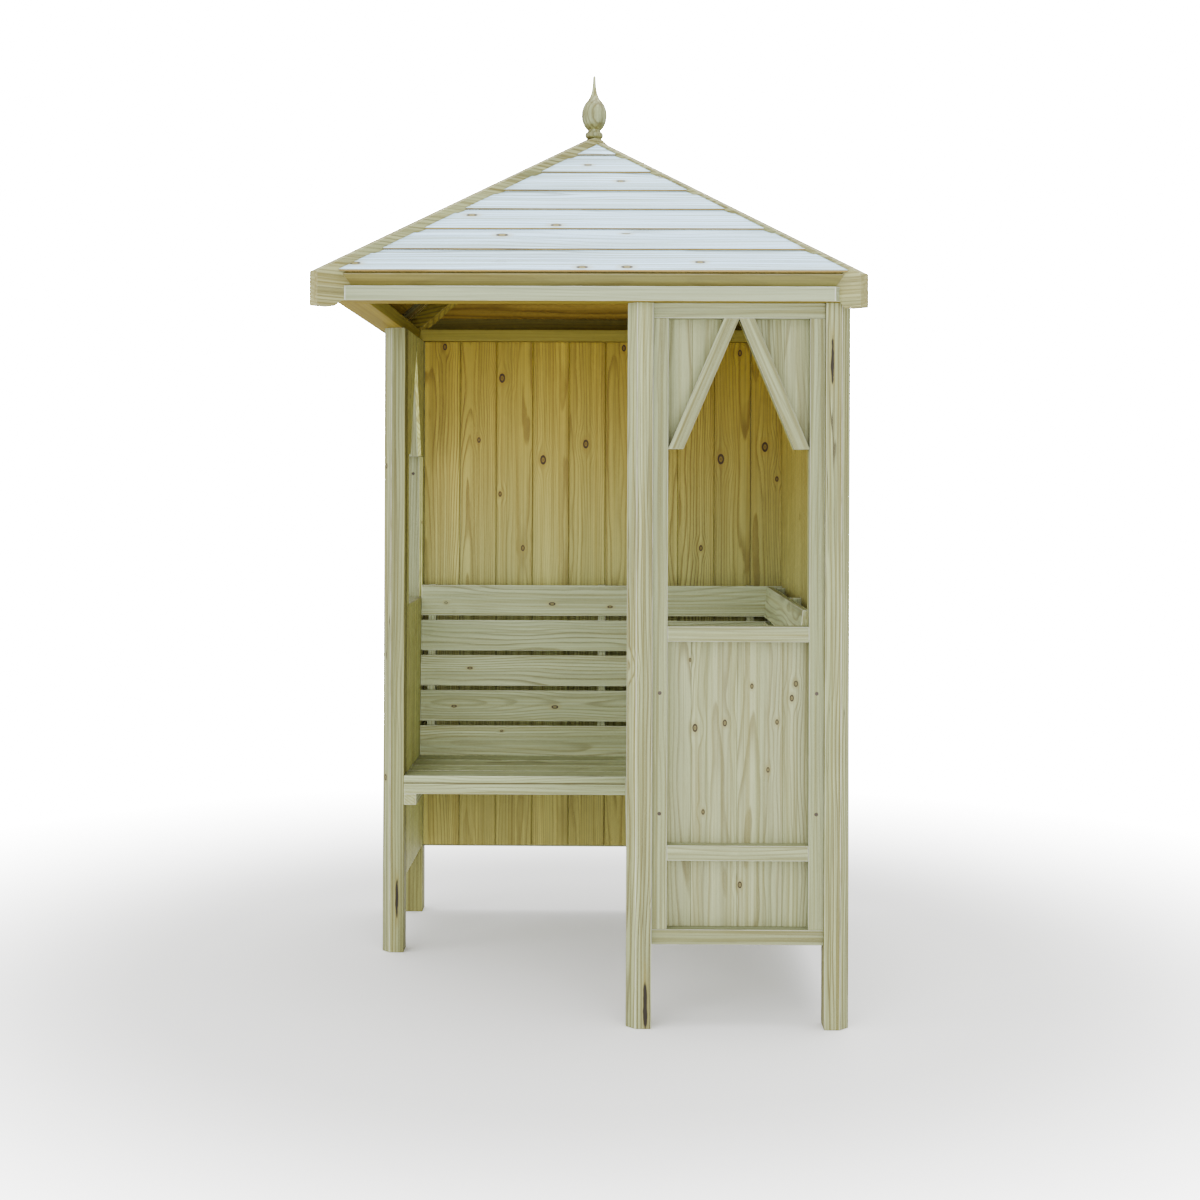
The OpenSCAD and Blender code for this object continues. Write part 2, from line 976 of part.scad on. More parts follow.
// The screws of the front panel: two in the face of each stile, and one in each window reveal
module panel_screw_set(gap) {
    mid_y = frame_out + batten / 2;
    for (x = [pan_lo + batten / 2, pan_hi - batten / 2], z = [screw_low_z, screw_high_z])
        translate([x, frame_out, z]) rotate([90, 0, 0]) screw(screw_short_l, gap);
    translate([win_lo, mid_y, screw_reveal_z]) rotate([0, 90, 0]) screw(screw_long_l, gap);
    translate([win_hi, mid_y, screw_reveal_z]) rotate([0, -90, 0]) screw(screw_long_l, gap);
}

module panel_screws() {
    color(steel_colour) {
        panel_screw_set(0);
        swap_xy() panel_screw_set(0);
    }
}

post_front_right();
post_front_mid();
post_left_mid();
post_back_left();
post_back_right();
front_stiles();
front_bottom_rail();
front_lower_rail();
front_sill_rail();
front_top_rail();
front_window_braces();
front_cladding();
left_stiles();
left_bottom_rail();
left_lower_rail();
left_sill_rail();
left_top_rail();
left_window_braces();
left_cladding();
back_stiles();
back_rails();
back_cladding();
right_stiles();
right_rails();
right_cladding();
plate_front();
plate_right();
plate_back();
plate_left();
eaves_front();
eaves_right();
eaves_back();
eaves_left();
hip_rafter_front_left();
hip_rafter_front_right();
hip_rafter_back_right();
hip_rafter_back_left();
roof_battens_front();
roof_battens_right();
roof_battens_back();
roof_battens_left();
roof_boards_front();
roof_boards_right();
roof_boards_back();
roof_boards_left();
finial();
seat_boards_back();
seat_boards_right();
seat_rails_back();
seat_rails_right();
seat_joists();
seat_bearers();
back_slats();
right_slats();
back_studs();
right_studs();
panel_screws();
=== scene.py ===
import math
import zlib

import bmesh
import bpy
from mathutils import Matrix, Vector


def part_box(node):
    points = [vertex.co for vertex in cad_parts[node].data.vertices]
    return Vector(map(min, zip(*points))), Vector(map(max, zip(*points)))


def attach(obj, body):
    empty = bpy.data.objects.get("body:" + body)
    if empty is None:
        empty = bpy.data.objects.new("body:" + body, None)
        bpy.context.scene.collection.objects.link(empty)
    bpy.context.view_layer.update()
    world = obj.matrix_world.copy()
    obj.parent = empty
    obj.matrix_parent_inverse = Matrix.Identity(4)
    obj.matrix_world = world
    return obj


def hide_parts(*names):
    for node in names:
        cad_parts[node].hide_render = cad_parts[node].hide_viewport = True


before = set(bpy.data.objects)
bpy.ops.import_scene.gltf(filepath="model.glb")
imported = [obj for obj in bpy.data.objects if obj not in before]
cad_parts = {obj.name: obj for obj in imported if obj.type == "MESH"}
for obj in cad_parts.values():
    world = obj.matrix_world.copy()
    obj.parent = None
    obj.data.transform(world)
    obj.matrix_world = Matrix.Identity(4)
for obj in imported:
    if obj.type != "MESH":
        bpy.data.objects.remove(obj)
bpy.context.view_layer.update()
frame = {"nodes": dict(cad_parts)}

bl_info = {
    "name": "Garden corner arbour",
    "version": (1, 0, 0),
    "blender": (4, 5, 0),
    "location": "3D View > Sidebar > Arbour",
    "description": "Dresses the corner arbour's solids as treated pine, with its stage and camera",
    "category": "Object",
}


# Settings


class ArbourTimber(bpy.types.PropertyGroup):
    """Sizes of what is worked on the timber and of what repeats"""

    arris: bpy.props.FloatProperty(
        name="Arris", description="Width of the rounding along the edges of planed timber",
        default=0.0016, min=0.0003, max=0.004, unit="LENGTH")
    board_arris: bpy.props.FloatProperty(
        name="Board arris", description="Width of the rounding along the edges of thin boards",
        default=0.0007, min=0.0002, max=0.002, unit="LENGTH")
    cladding_cover: bpy.props.FloatProperty(
        name="Cladding cover", description="Width that one cladding board covers",
        default=0.109, unit="LENGTH")
    roof_cover: bpy.props.FloatProperty(
        name="Roof board cover", description="Part of each roof board that shows, up the slope",
        default=0.110, unit="LENGTH")
    pitch: bpy.props.FloatProperty(
        name="Pitch", description="Pitch of the roof's sides",
        default=math.radians(34.5), subtype="ANGLE")
    seat_step: bpy.props.FloatProperty(
        name="Seat board step", description="Distance from one seat board to the next",
        default=0.094, unit="LENGTH")
    slat_step: bpy.props.FloatProperty(
        name="Slat step", description="Distance from one slat of the seat back to the next",
        default=0.1035, unit="LENGTH")
    back_lean: bpy.props.FloatProperty(
        name="Back lean", description="Lean of the back bench's slats",
        default=math.radians(4.0), subtype="ANGLE")
    side_lean: bpy.props.FloatProperty(
        name="Side lean", description="Lean of the right bench's slats",
        default=math.radians(5.4), subtype="ANGLE")
    screw_head: bpy.props.FloatProperty(
        name="Screw head", description="Diameter of a screw's head", default=0.009, unit="LENGTH")
    screw_shank: bpy.props.FloatProperty(
        name="Screw shank", description="Diameter of a screw's shank", default=0.004, unit="LENGTH")


def colour(name, description, default):
    return bpy.props.FloatVectorProperty(
        name=name, description=description, default=default, subtype="COLOR", min=0, max=1)


class ArbourFinish(bpy.types.PropertyGroup):
    """Colours of the treated pine, each the pale wood between the growth rings"""

    post: colour("Posts", "Outside faces of the posts", (0.258, 0.280, 0.138))
    frame: colour("Frame", "Stiles, rails and braces", (0.240, 0.264, 0.138))
    plate: colour("Plate", "Wall plate", (0.265, 0.300, 0.185))
    eaves: colour("Eaves", "Eaves boards", (0.160, 0.136, 0.028))
    cladding: colour("Cladding", "Tongued and grooved boards", (0.255, 0.272, 0.142))
    # Pale boards, with the blue of the sky's light painted into their colour
    roof: colour("Roof", "Roof boards", (0.50, 0.76, 1.0))
    rafter: colour("Rafters", "Hip rafters and battens", (0.300, 0.302, 0.140))
    bench: colour("Bench", "Seat, slats and studs", (0.350, 0.395, 0.215))
    latewood: colour("Latewood", "Darker lines of the growth rings", (0.080, 0.060, 0.012))
    green: colour("Treatment", "Green tinge of the preservative", (0.190, 0.225, 0.100))
    knot: colour("Knots", "Heart of the knots", (0.042, 0.026, 0.006))
    steel: colour("Screws", "Screw heads", (0.040, 0.036, 0.030))
    floor: colour("Floor", "Floor of the stage", (0.88, 0.88, 0.87))


class ArbourStage(bpy.types.PropertyGroup):
    """Camera and light"""

    camera: bpy.props.FloatVectorProperty(
        name="Camera", description="Place of the camera", default=(0.0706, -4.6936, 1.270),
        subtype="TRANSLATION", unit="LENGTH")
    turn: bpy.props.FloatProperty(
        name="Turn", description="Turn of the camera to the left", default=0.01075, subtype="ANGLE")
    roll: bpy.props.FloatProperty(
        name="Roll", description="Roll of the camera", default=0.0036, subtype="ANGLE")
    lens: bpy.props.FloatProperty(
        name="Lens", description="Focal length on a 36 mm sensor", default=52.491, unit="CAMERA")
    shift: bpy.props.FloatVectorProperty(
        name="Shift", description="Shift of the lens", default=(-0.00033, -0.092167), size=2)
    sky: bpy.props.FloatProperty(
        name="Sky", description="Strength of the light from all round", default=1.5, min=0)
    backdrop: bpy.props.FloatProperty(
        name="Backdrop", description="Brightness of the backdrop in the picture", default=40.0, min=0)
    key: bpy.props.FloatProperty(
        name="Key", description="Power of the large lamp in front", default=185, unit="POWER")
    side: bpy.props.FloatProperty(
        name="Side", description="Power of the lamp at the left opening", default=90, unit="POWER")
    fill: bpy.props.FloatProperty(
        name="Fill", description="Power of the low lamp that lights the inside", default=230,
        unit="POWER")
    top: bpy.props.FloatProperty(
        name="Top", description="Power of the large lamp overhead", default=420, unit="POWER")


# Boards


MERGE = 1e-5                 # points closer than this are one
FLAT = math.radians(0.6)     # faces that meet at less than this are one flat
SHARP = math.radians(20)     # an edge that is turned by more than this is a timber's edge
CREASE = math.radians(32)    # an edge of turned work that stays crisp
SEED_STEPS = 10007           # number of different boards that the grain can tell apart


def solids_of(node, flatten=True):
    """The solids of a CAD node as separate bmeshes, from a copy with its triangles merged."""
    whole = bmesh.new()
    whole.from_mesh(frame["nodes"][node].data)
    bmesh.ops.remove_doubles(whole, verts=whole.verts, dist=MERGE)
    if flatten:
        bmesh.ops.dissolve_limit(whole, angle_limit=FLAT, verts=whole.verts, edges=whole.edges)
    left = set(whole.faces)
    solids = []
    while left:
        first = min(left, key=lambda f: f.index)
        group = {first}
        stack = [first]
        while stack:
            for edge in stack.pop().edges:
                if len(edge.link_faces) != 2:
                    continue  # two timbers that touch along an edge stay apart
                for face in edge.link_faces:
                    if face not in group:
                        group.add(face)
                        stack.append(face)
        left -= group
        part = bmesh.new()
        corner = {}
        for face in sorted(group, key=lambda f: f.index):
            for vert in face.verts:
                if vert not in corner:
                    corner[vert] = part.verts.new(vert.co)
            part.faces.new([corner[v] for v in face.verts])
        part.normal_update()
        solids.append(part)
    whole.free()
    return solids


def reach(bm):
    """The lowest and highest corner of a solid's box."""
    low = Vector(min(v.co[i] for v in bm.verts) for i in range(3))
    high = Vector(max(v.co[i] for v in bm.verts) for i in range(3))
    return low, high


def middle(bm):
    low, high = reach(bm)
    return (low + high) / 2


def in_order(solids, direction):
    return sorted(solids, key=lambda bm: round(middle(bm).dot(Vector(direction)), 4))


def grain_frame(bm, along=None):
    """Unit vectors along the grain, across the wide face and out of it."""
    if along is None:
        sharp = [e for e in bm.edges if e.calc_face_angle(0) > SHARP]
        edge = max(sharp, key=lambda e: round(e.calc_length(), 5))
        along = edge.verts[1].co - edge.verts[0].co
    along = Vector(along).normalized()
    if max(along, key=abs) < 0:
        along = -along
    sides = [f for f in bm.faces if abs(f.normal.dot(along)) < 0.5]
    wide = max(sides, key=lambda f: round(f.calc_area(), 6)).normal
    out = (wide - along * wide.dot(along)).normalized()
    return along, out.cross(along), out


def ease(bm, width):
    """Rounds the outer edges of a board and gives the faces of the rounding."""
    edges = [
        e for e in bm.edges
        if len(e.link_faces) == 2 and e.is_convex
        and e.calc_face_angle() > SHARP and e.calc_length() > 4 * width]
    if not edges or width <= 0:
        return set()
    flats = {tuple(round(c, 2) for c in f.normal): f.normal.copy() for f in bm.faces}
    bmesh.ops.bevel(
        bm, geom=edges, offset=width, offset_type="OFFSET", segments=2, profile=0.5,
        affect="EDGES", clamp_overlap=True)
    bm.normal_update()
    return {f for f in bm.faces if max(f.normal.dot(n) for n in flats.values()) < 0.998}


def board_mesh(name, solids, width, along=None, smooth=False):
    """One mesh of boards, with the attributes that the wood material reads."""
    verts, grain, board, end = [], [], [], []
    faces, arris, cut = [], [], []
    for number, bm in enumerate(solids):
        axes = grain_frame(bm, along)
        centre = middle(bm)
        rounded = ease(bm, width)
        bm.normal_update()
        seed = zlib.crc32(f"{name} {number}".encode()) % SEED_STEPS / SEED_STEPS
        first = len(verts)
        bm.verts.index_update()
        for vert in bm.verts:
            local = [(vert.co - centre).dot(axis) for axis in axes]
            verts.append(vert.co.copy())
            grain.extend(local)
            board.append(seed)
            end.append(1.0 if local[0] > 0 else -1.0)
        for face in bm.faces:
            faces.append([first + v.index for v in face.verts])
            arris.append(1.0 if face in rounded else 0.0)
            cut.append(1.0 if abs(face.normal.dot(axes[0])) > 0.8 else 0.0)
        bm.free()
    mesh = bpy.data.meshes.new(name)
    mesh.from_pydata(verts, [], faces)
    for key, kind, domain, values in (
        ("grain", "FLOAT_VECTOR", "POINT", grain), ("board", "FLOAT", "POINT", board),
        ("end", "FLOAT", "POINT", end), ("arris", "FLOAT", "FACE", arris),
        ("cut", "FLOAT", "FACE", cut),
    ):
        data = mesh.attributes.new(key, kind, domain).data
        data.foreach_set("vector" if kind == "FLOAT_VECTOR" else "value", values)
    if smooth:
        mesh.shade_smooth()
        mesh.set_sharp_from_angle(angle=CREASE)
    mesh.update()
    return mesh


def new_object(name, mesh):
    obj = bpy.data.objects.new(name, mesh)
    bpy.context.scene.collection.objects.link(obj)
    return obj


MAY_STAND_OUT = 0.001
MAY_FALL_SHORT = 0.005


def fit_piece(obj, node):
    """Puts a finished piece in its node's place, after a look at its size."""
    low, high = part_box(node)
    for i in range(3):
        values = [v.co[i] for v in obj.data.vertices]
        out = max(low[i] - min(values), max(values) - high[i])
        short = max(min(values) - low[i], high[i] - max(values))
        if out > MAY_STAND_OUT or short > MAY_FALL_SHORT:
            raise RuntimeError(
                f"{obj.name} is {min(values)} to {max(values)}, not {low[i]} to {high[i]}")
    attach(obj, "root")
    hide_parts(node)
    return obj


def dress(node, material, width, along=None, smooth=False):
    """A piece made from all the boards of one node."""
    name = node + "_wood"
    mesh = board_mesh(name, solids_of(node, not smooth), width, along, smooth)
    mesh.materials.append(material)
    return fit_piece(new_object(name, mesh), node)


# Geometry Nodes


class Tree:
    """Short names for building a node tree"""

    def __init__(self, tree):
        self.tree = tree

    def add(self, kind, inputs=None, out=0, **settings):
        node = self.tree.nodes.new(kind)
        for key, value in settings.items():
            setattr(node, key, value)
        for key, value in (inputs or {}).items():
            self.put(node.inputs[key], value)
        return node.outputs[out]

    def put(self, socket, value):
        if isinstance(value, bpy.types.NodeSocket):
            self.tree.links.new(value, socket)
        else:
            socket.default_value = value

    def vec(self, what, a, b=None, out=0):
        values = {0: a}
        if b is not None:
            values[3 if what == "SCALE" else 1] = b
        return self.add("ShaderNodeVectorMath", values, out, operation=what)

    def math(self, what, a, b=None, c=None, clamp=False):
        values = {i: v for i, v in enumerate((a, b, c)) if v is not None}
        return self.add("ShaderNodeMath", values, operation=what, use_clamp=clamp)

    def named(self, name, kind="FLOAT"):
        return self.add("GeometryNodeInputNamedAttribute", {"Name": name}, data_type=kind)

    def finish(self, geometry, material, result):
        """Hands a tree's geometry on as real mesh in one material."""
        real = self.add("GeometryNodeRealizeInstances", {"Geometry": geometry})
        done = self.add("GeometryNodeSetMaterial", {"Geometry": real, "Material": material})
        self.tree.links.new(done, result)
        return self.tree


def new_geometry_tree(name, sockets):
    tree = bpy.data.node_groups.new(name, "GeometryNodeTree")
    tree.interface.new_socket("Geometry", in_out="INPUT", socket_type="NodeSocketGeometry")
    for label, kind, about in sockets:
        made = tree.interface.new_socket(label, in_out="INPUT", socket_type=kind)
        made.description = about
    tree.interface.new_socket("Geometry", in_out="OUTPUT", socket_type="NodeSocketGeometry")
    t = Tree(tree)
    given = tree.nodes.new("NodeGroupInput").outputs
    result = tree.nodes.new("NodeGroupOutput").inputs[0]
    return t, given, result


GOLDEN = 0.6180339    # steps of this size spread the boards' grain evenly


def row_tree():
    """Boards side by side, each drawn in at its ends by the same step, with the odd ones added."""
    if "Row of boards" in bpy.data.node_groups:
        return bpy.data.node_groups["Row of boards"]
    t, given, result = new_geometry_tree("Row of boards", [
        ("Boards", "NodeSocketInt", "Number of boards"),
        ("Step", "NodeSocketVector", "From one board to the next"),
        ("Length direction", "NodeSocketVector", "Direction of the boards' length"),
        ("Near draw", "NodeSocketFloat", "How much each near end is drawn in, past the one before"),
        ("Far draw", "NodeSocketFloat", "How much each far end is drawn in, past the one before"),
        ("Odd boards", "NodeSocketObject", "Boards that don't follow the rule"),
        ("Finish", "NodeSocketMaterial", "Material of the boards"),
    ])
    line = t.add("GeometryNodeMeshLine", {
        "Count": given["Boards"], "Offset": given["Step"], "Start Location": (0, 0, 0)},
        mode="OFFSET", count_mode="TOTAL")
    many = t.add("GeometryNodeInstanceOnPoints", {"Points": line, "Instance": given["Geometry"]})
    numbered = t.add("GeometryNodeStoreNamedAttribute", {
        "Geometry": many, "Name": "place", "Value": t.add("GeometryNodeInputIndex")},
        data_type="FLOAT", domain="INSTANCE")
    solid = t.add("GeometryNodeRealizeInstances", {"Geometry": numbered})
    place = t.named("place")
    end = t.named("end")
    near = t.math("MULTIPLY", t.math("LESS_THAN", end, 0.0), given["Near draw"])
    far = t.math("MULTIPLY", t.math("GREATER_THAN", end, 0.0), given["Far draw"])
    draw = t.math("MULTIPLY", place, t.math("SUBTRACT", near, far))
    moved = t.add("GeometryNodeSetPosition", {
        "Geometry": solid, "Offset": t.vec("SCALE", given["Length direction"], draw)})
    along = t.add("ShaderNodeCombineXYZ", {"X": draw})
    grained = t.add("GeometryNodeStoreNamedAttribute", {
        "Geometry": moved, "Name": "grain",
        "Value": t.vec("ADD", t.named("grain", "FLOAT_VECTOR"), along)},
        data_type="FLOAT_VECTOR", domain="POINT")
    seeded = t.add("GeometryNodeStoreNamedAttribute", {
        "Geometry": grained, "Name": "board",
        "Value": t.math("MULTIPLY_ADD", place, GOLDEN, t.named("board"))},
        data_type="FLOAT", domain="POINT")
    odd = t.add("GeometryNodeObjectInfo", {"Object": given["Odd boards"]}, "Geometry")
    both = t.tree.nodes.new("GeometryNodeJoinGeometry")
    t.tree.links.new(odd, both.inputs[0])
    t.tree.links.new(seeded, both.inputs[0])
    return t.finish(both.outputs[0], given["Finish"], result)


def screw_tree():
    """A screw at each point, aimed along the point's own direction."""
    if "Screws at points" in bpy.data.node_groups:
        return bpy.data.node_groups["Screws at points"]
    t, given, result = new_geometry_tree("Screws at points", [
        ("Head diameter", "NodeSocketFloat", "Diameter of the head"),
        ("Shank diameter", "NodeSocketFloat", "Diameter of the shank"),
        ("Screw", "NodeSocketObject", "Screw of unit head, shank and length, aimed along Z"),
        ("Finish", "NodeSocketMaterial", "Material of the screws"),
    ])
    aim = t.add("FunctionNodeAlignEulerToVector", {"Vector": t.named("aim", "FLOAT_VECTOR")}, axis="Z")
    size = t.add("ShaderNodeCombineXYZ", {
        "X": given["Head diameter"], "Y": given["Head diameter"], "Z": t.named("length")})
    shape = t.add("GeometryNodeObjectInfo", {"Object": given["Screw"]}, "Geometry")
    radial = t.vec("MULTIPLY", t.add("GeometryNodeInputPosition"), (1, 1, 0))
    ratio = t.math("DIVIDE", given["Shank diameter"], given["Head diameter"])
    slim = t.vec("SCALE", radial, t.math("SUBTRACT", ratio, 1.0))
    shaped = t.add("GeometryNodeSetPosition", {
        "Geometry": shape, "Selection": t.math("GREATER_THAN", t.named("shank"), 0.5),
        "Offset": slim})
    many = t.add("GeometryNodeInstanceOnPoints", {
        "Points": given["Geometry"], "Instance": shaped, "Rotation": aim, "Scale": size})
    return t.finish(many, given["Finish"], result)


def grow(obj, tree, values):
    """Applies a tree to an object, which keeps the result as a plain mesh."""
    modifier = obj.modifiers.new(tree.name, "NODES")
    modifier.node_group = tree
    keys = {s.name: s.identifier for s in tree.interface.items_tree if s.in_out == "INPUT"}
    for label, value in values.items():
        modifier[keys[label]] = value
    bpy.context.view_layer.update()
    seen = obj.evaluated_get(bpy.context.evaluated_depsgraph_get())
    mesh = bpy.data.meshes.new_from_object(seen)
    obj.modifiers.clear()
    obj.data = mesh
    mesh.name = obj.name
    return obj


def forget(mesh, names):
    """Takes away what only the building of a piece reads."""
    for name in names:
        if name in mesh.attributes:
            mesh.attributes.remove(mesh.attributes[name])


def row(node, material, width, direction, count, step, length=(1, 0, 0), draws=(0, 0)):
    """A piece whose first boards follow one rule, while the rest are made one by one."""
    name = node + "_wood"
    solids = in_order(solids_of(node), direction)
    obj = new_object(name, board_mesh(name, solids[:1], width))
    odd = new_object("odd_boards", board_mesh("odd " + name, solids[count:], width))
    grow(obj, row_tree(), {
        "Boards": count, "Step": tuple(step), "Length direction": tuple(length),
        "Near draw": draws[0], "Far draw": draws[1], "Odd boards": odd, "Finish": material})
    bpy.data.objects.remove(odd)
    forget(obj.data, ("place", "end"))
    return fit_piece(obj, node)


# Wood


# Knots that the front view shows (place, radius), and deep cracks (place, half length and width)

POST_SPLITS = (
    (0.571, -0.576, 1.570, 0.045, 0.0030), (-0.534, 0.090, 0.144, 0.040, 0.0030),
    (0.136, -0.576, 0.058, 0.050, 0.0040),
)
WALL_KNOTS = (
    (-0.282, 0.556, 1.603, 0.0085), (-0.158, 0.556, 1.358, 0.0085), (-0.030, 0.556, 1.406, 0.0080),
    (-0.287, 0.556, 1.255, 0.0050), (-0.218, 0.556, 1.093, 0.0055), (-0.351, 0.556, 1.417, 0.0050),
    (-0.454, 0.556, 1.696, 0.0060), (0.083, 0.556, 1.694, 0.0060), (0.431, 0.556, 1.680, 0.0060),
    (0.375, 0.556, 1.362, 0.0095), (0.507, 0.556, 1.399, 0.0090), (0.543, 0.556, 1.303, 0.0050),
    (0.316, 0.556, 1.095, 0.0055),
)
PANEL_KNOTS = (
    (0.388, -0.526, 0.803, 0.0040), (0.448, -0.526, 0.718, 0.0040), (0.253, -0.526, 0.703, 0.0060),
    (0.324, -0.526, 0.715, 0.0050), (0.483, -0.526, 0.775, 0.0050), (0.361, -0.526, 0.330, 0.0050),
    (0.273, -0.526, 0.503, 0.0040), (0.427, -0.526, 0.604, 0.0040), (0.241, -0.526, 0.865, 0.0030),
)
SLAT_KNOTS = (
    (-0.127, 0.493, 0.930, 0.0050), (0.045, 0.493, 0.922, 0.0040), (-0.415, 0.472, 0.628, 0.0040),
    (-0.117, 0.472, 0.627, 0.0050), (-0.369, 0.480, 0.740, 0.0040),
)
ROOF_KNOTS = (
    (-0.215, -0.462, 1.885, 0.0074), (-0.086, -0.417, 1.916, 0.0068), (-0.296, -0.371, 1.947, 0.0068),
    (-0.018, -0.600, 1.790, 0.0068), (0.087, -0.599, 1.791, 0.0068), (-0.553, -0.585, 1.800, 0.0068),
    (0.517, -0.512, 1.850, 0.0068), (0.085, -0.452, 1.892, 0.0061), (0.072, -0.206, 2.061, 0.0061),
    (-0.014, -0.124, 2.117, 0.0054), (0.259, -0.578, 1.805, 0.0061),
)


class Wood(Tree):
    """A material's node tree, with the sums that wood needs"""

    def __init__(self, name):
        self.material = bpy.data.materials.new(name)
        self.material.use_nodes = True
        super().__init__(self.material.node_tree)
        self.tree.nodes.clear()

    def attribute(self, name, out="Fac"):
        return self.add("ShaderNodeAttribute", out=out, attribute_name=name)

    def split(self, vector):
        node = self.tree.nodes.new("ShaderNodeSeparateXYZ")
        self.put(node.inputs[0], vector)
        return node.outputs

    def join(self, x, y, z):
        return self.add("ShaderNodeCombineXYZ", {0: x, 1: y, 2: z})

    def mix(self, share, a, b):
        return self.add("ShaderNodeMix", {0: share, 6: a, 7: b}, 2, data_type="RGBA")

    def noise(self, place, scale, detail=2.0, rough=0.5):
        return self.add("ShaderNodeTexNoise", {
            "Vector": self.vec("MULTIPLY", place, scale), "Scale": 1.0, "Detail": detail,
            "Roughness": rough}, "Fac")

    def span(self, value, low, high, a=0.0, b=1.0, way="SMOOTHSTEP"):
        return self.add("ShaderNodeMapRange", {
            "Value": value, "From Min": low, "From Max": high, "To Min": a, "To Max": b},
            interpolation_type=way)

    def minus(self, a, b):
        return self.math("SUBTRACT", a, b)

    def times(self, a, b):
        return self.math("MULTIPLY", a, b)

    def centred(self, place, scale, detail=2.0):
        return self.minus(self.noise(place, scale, detail), 0.5)

    def coat(self, surface):
        """Gives the material its surface."""
        output = self.tree.nodes.new("ShaderNodeOutputMaterial")
        self.put(output.inputs["Surface"], surface)
        return self.material


def rgba(value, scale=1.0):
    return tuple(min(1.0, c * scale) for c in value) + (1.0,)


def darker(pale, shares):
    return tuple(c * share for c, share in zip(pale, shares)) + (1.0,)


# Shades of the wood's marks and of the painted shadows in its joints and seams, as shares of the pale
# wood's red, green and blue

STREAK = (0.48, 0.40, 0.22)
SPLIT_EDGE = (0.62, 0.48, 0.22)
SAWN_END = (0.60, 0.52, 0.34)
JOINT_SHADOW = (0.22, 0.16, 0.06)
SEAM_SHADOW = (0.20, 0.14, 0.05)

# Shades round a knot and in it, as shares of the pale wood's red

KNOT_HALO = (0.66, 0.60, 0.22)
KNOT_FLESH = (0.46, 0.40, 0.13)

# Brown spots on the screws

RUST = (0.060, 0.038, 0.020, 1)

# Knots strewn by rule: the length and width of the cell that holds one

KNOT_CELL_LENGTH = 0.30
KNOT_CELL_WIDTH = 0.085

# Where the heart of the tree lies: its spread across a board, and its distance behind the face

HEART_SPREAD = 0.13
HEART_RANGE = 0.06
HEART_NEAREST = 0.022

# Heights between which the painted light and shade of the inside grow warmer upwards, and again
# downwards under the seat

WARM_FROM = 0.75
WARM_TO = 1.75
LOW_WARM_FROM = 0.50
LOW_WARM_TO = 0.40

# Underside of the seat boards

UNDER_SEAT = 0.4645

# Where a rafter's painted shade inside the roof ends: at the boards, by their height at the peak, and
# at the eaves

UNDER_BOARDS = 2.150
ABOVE_BOARDS = 2.185
INSIDE_EAVES = 0.560
OUTSIDE_EAVES = 0.585


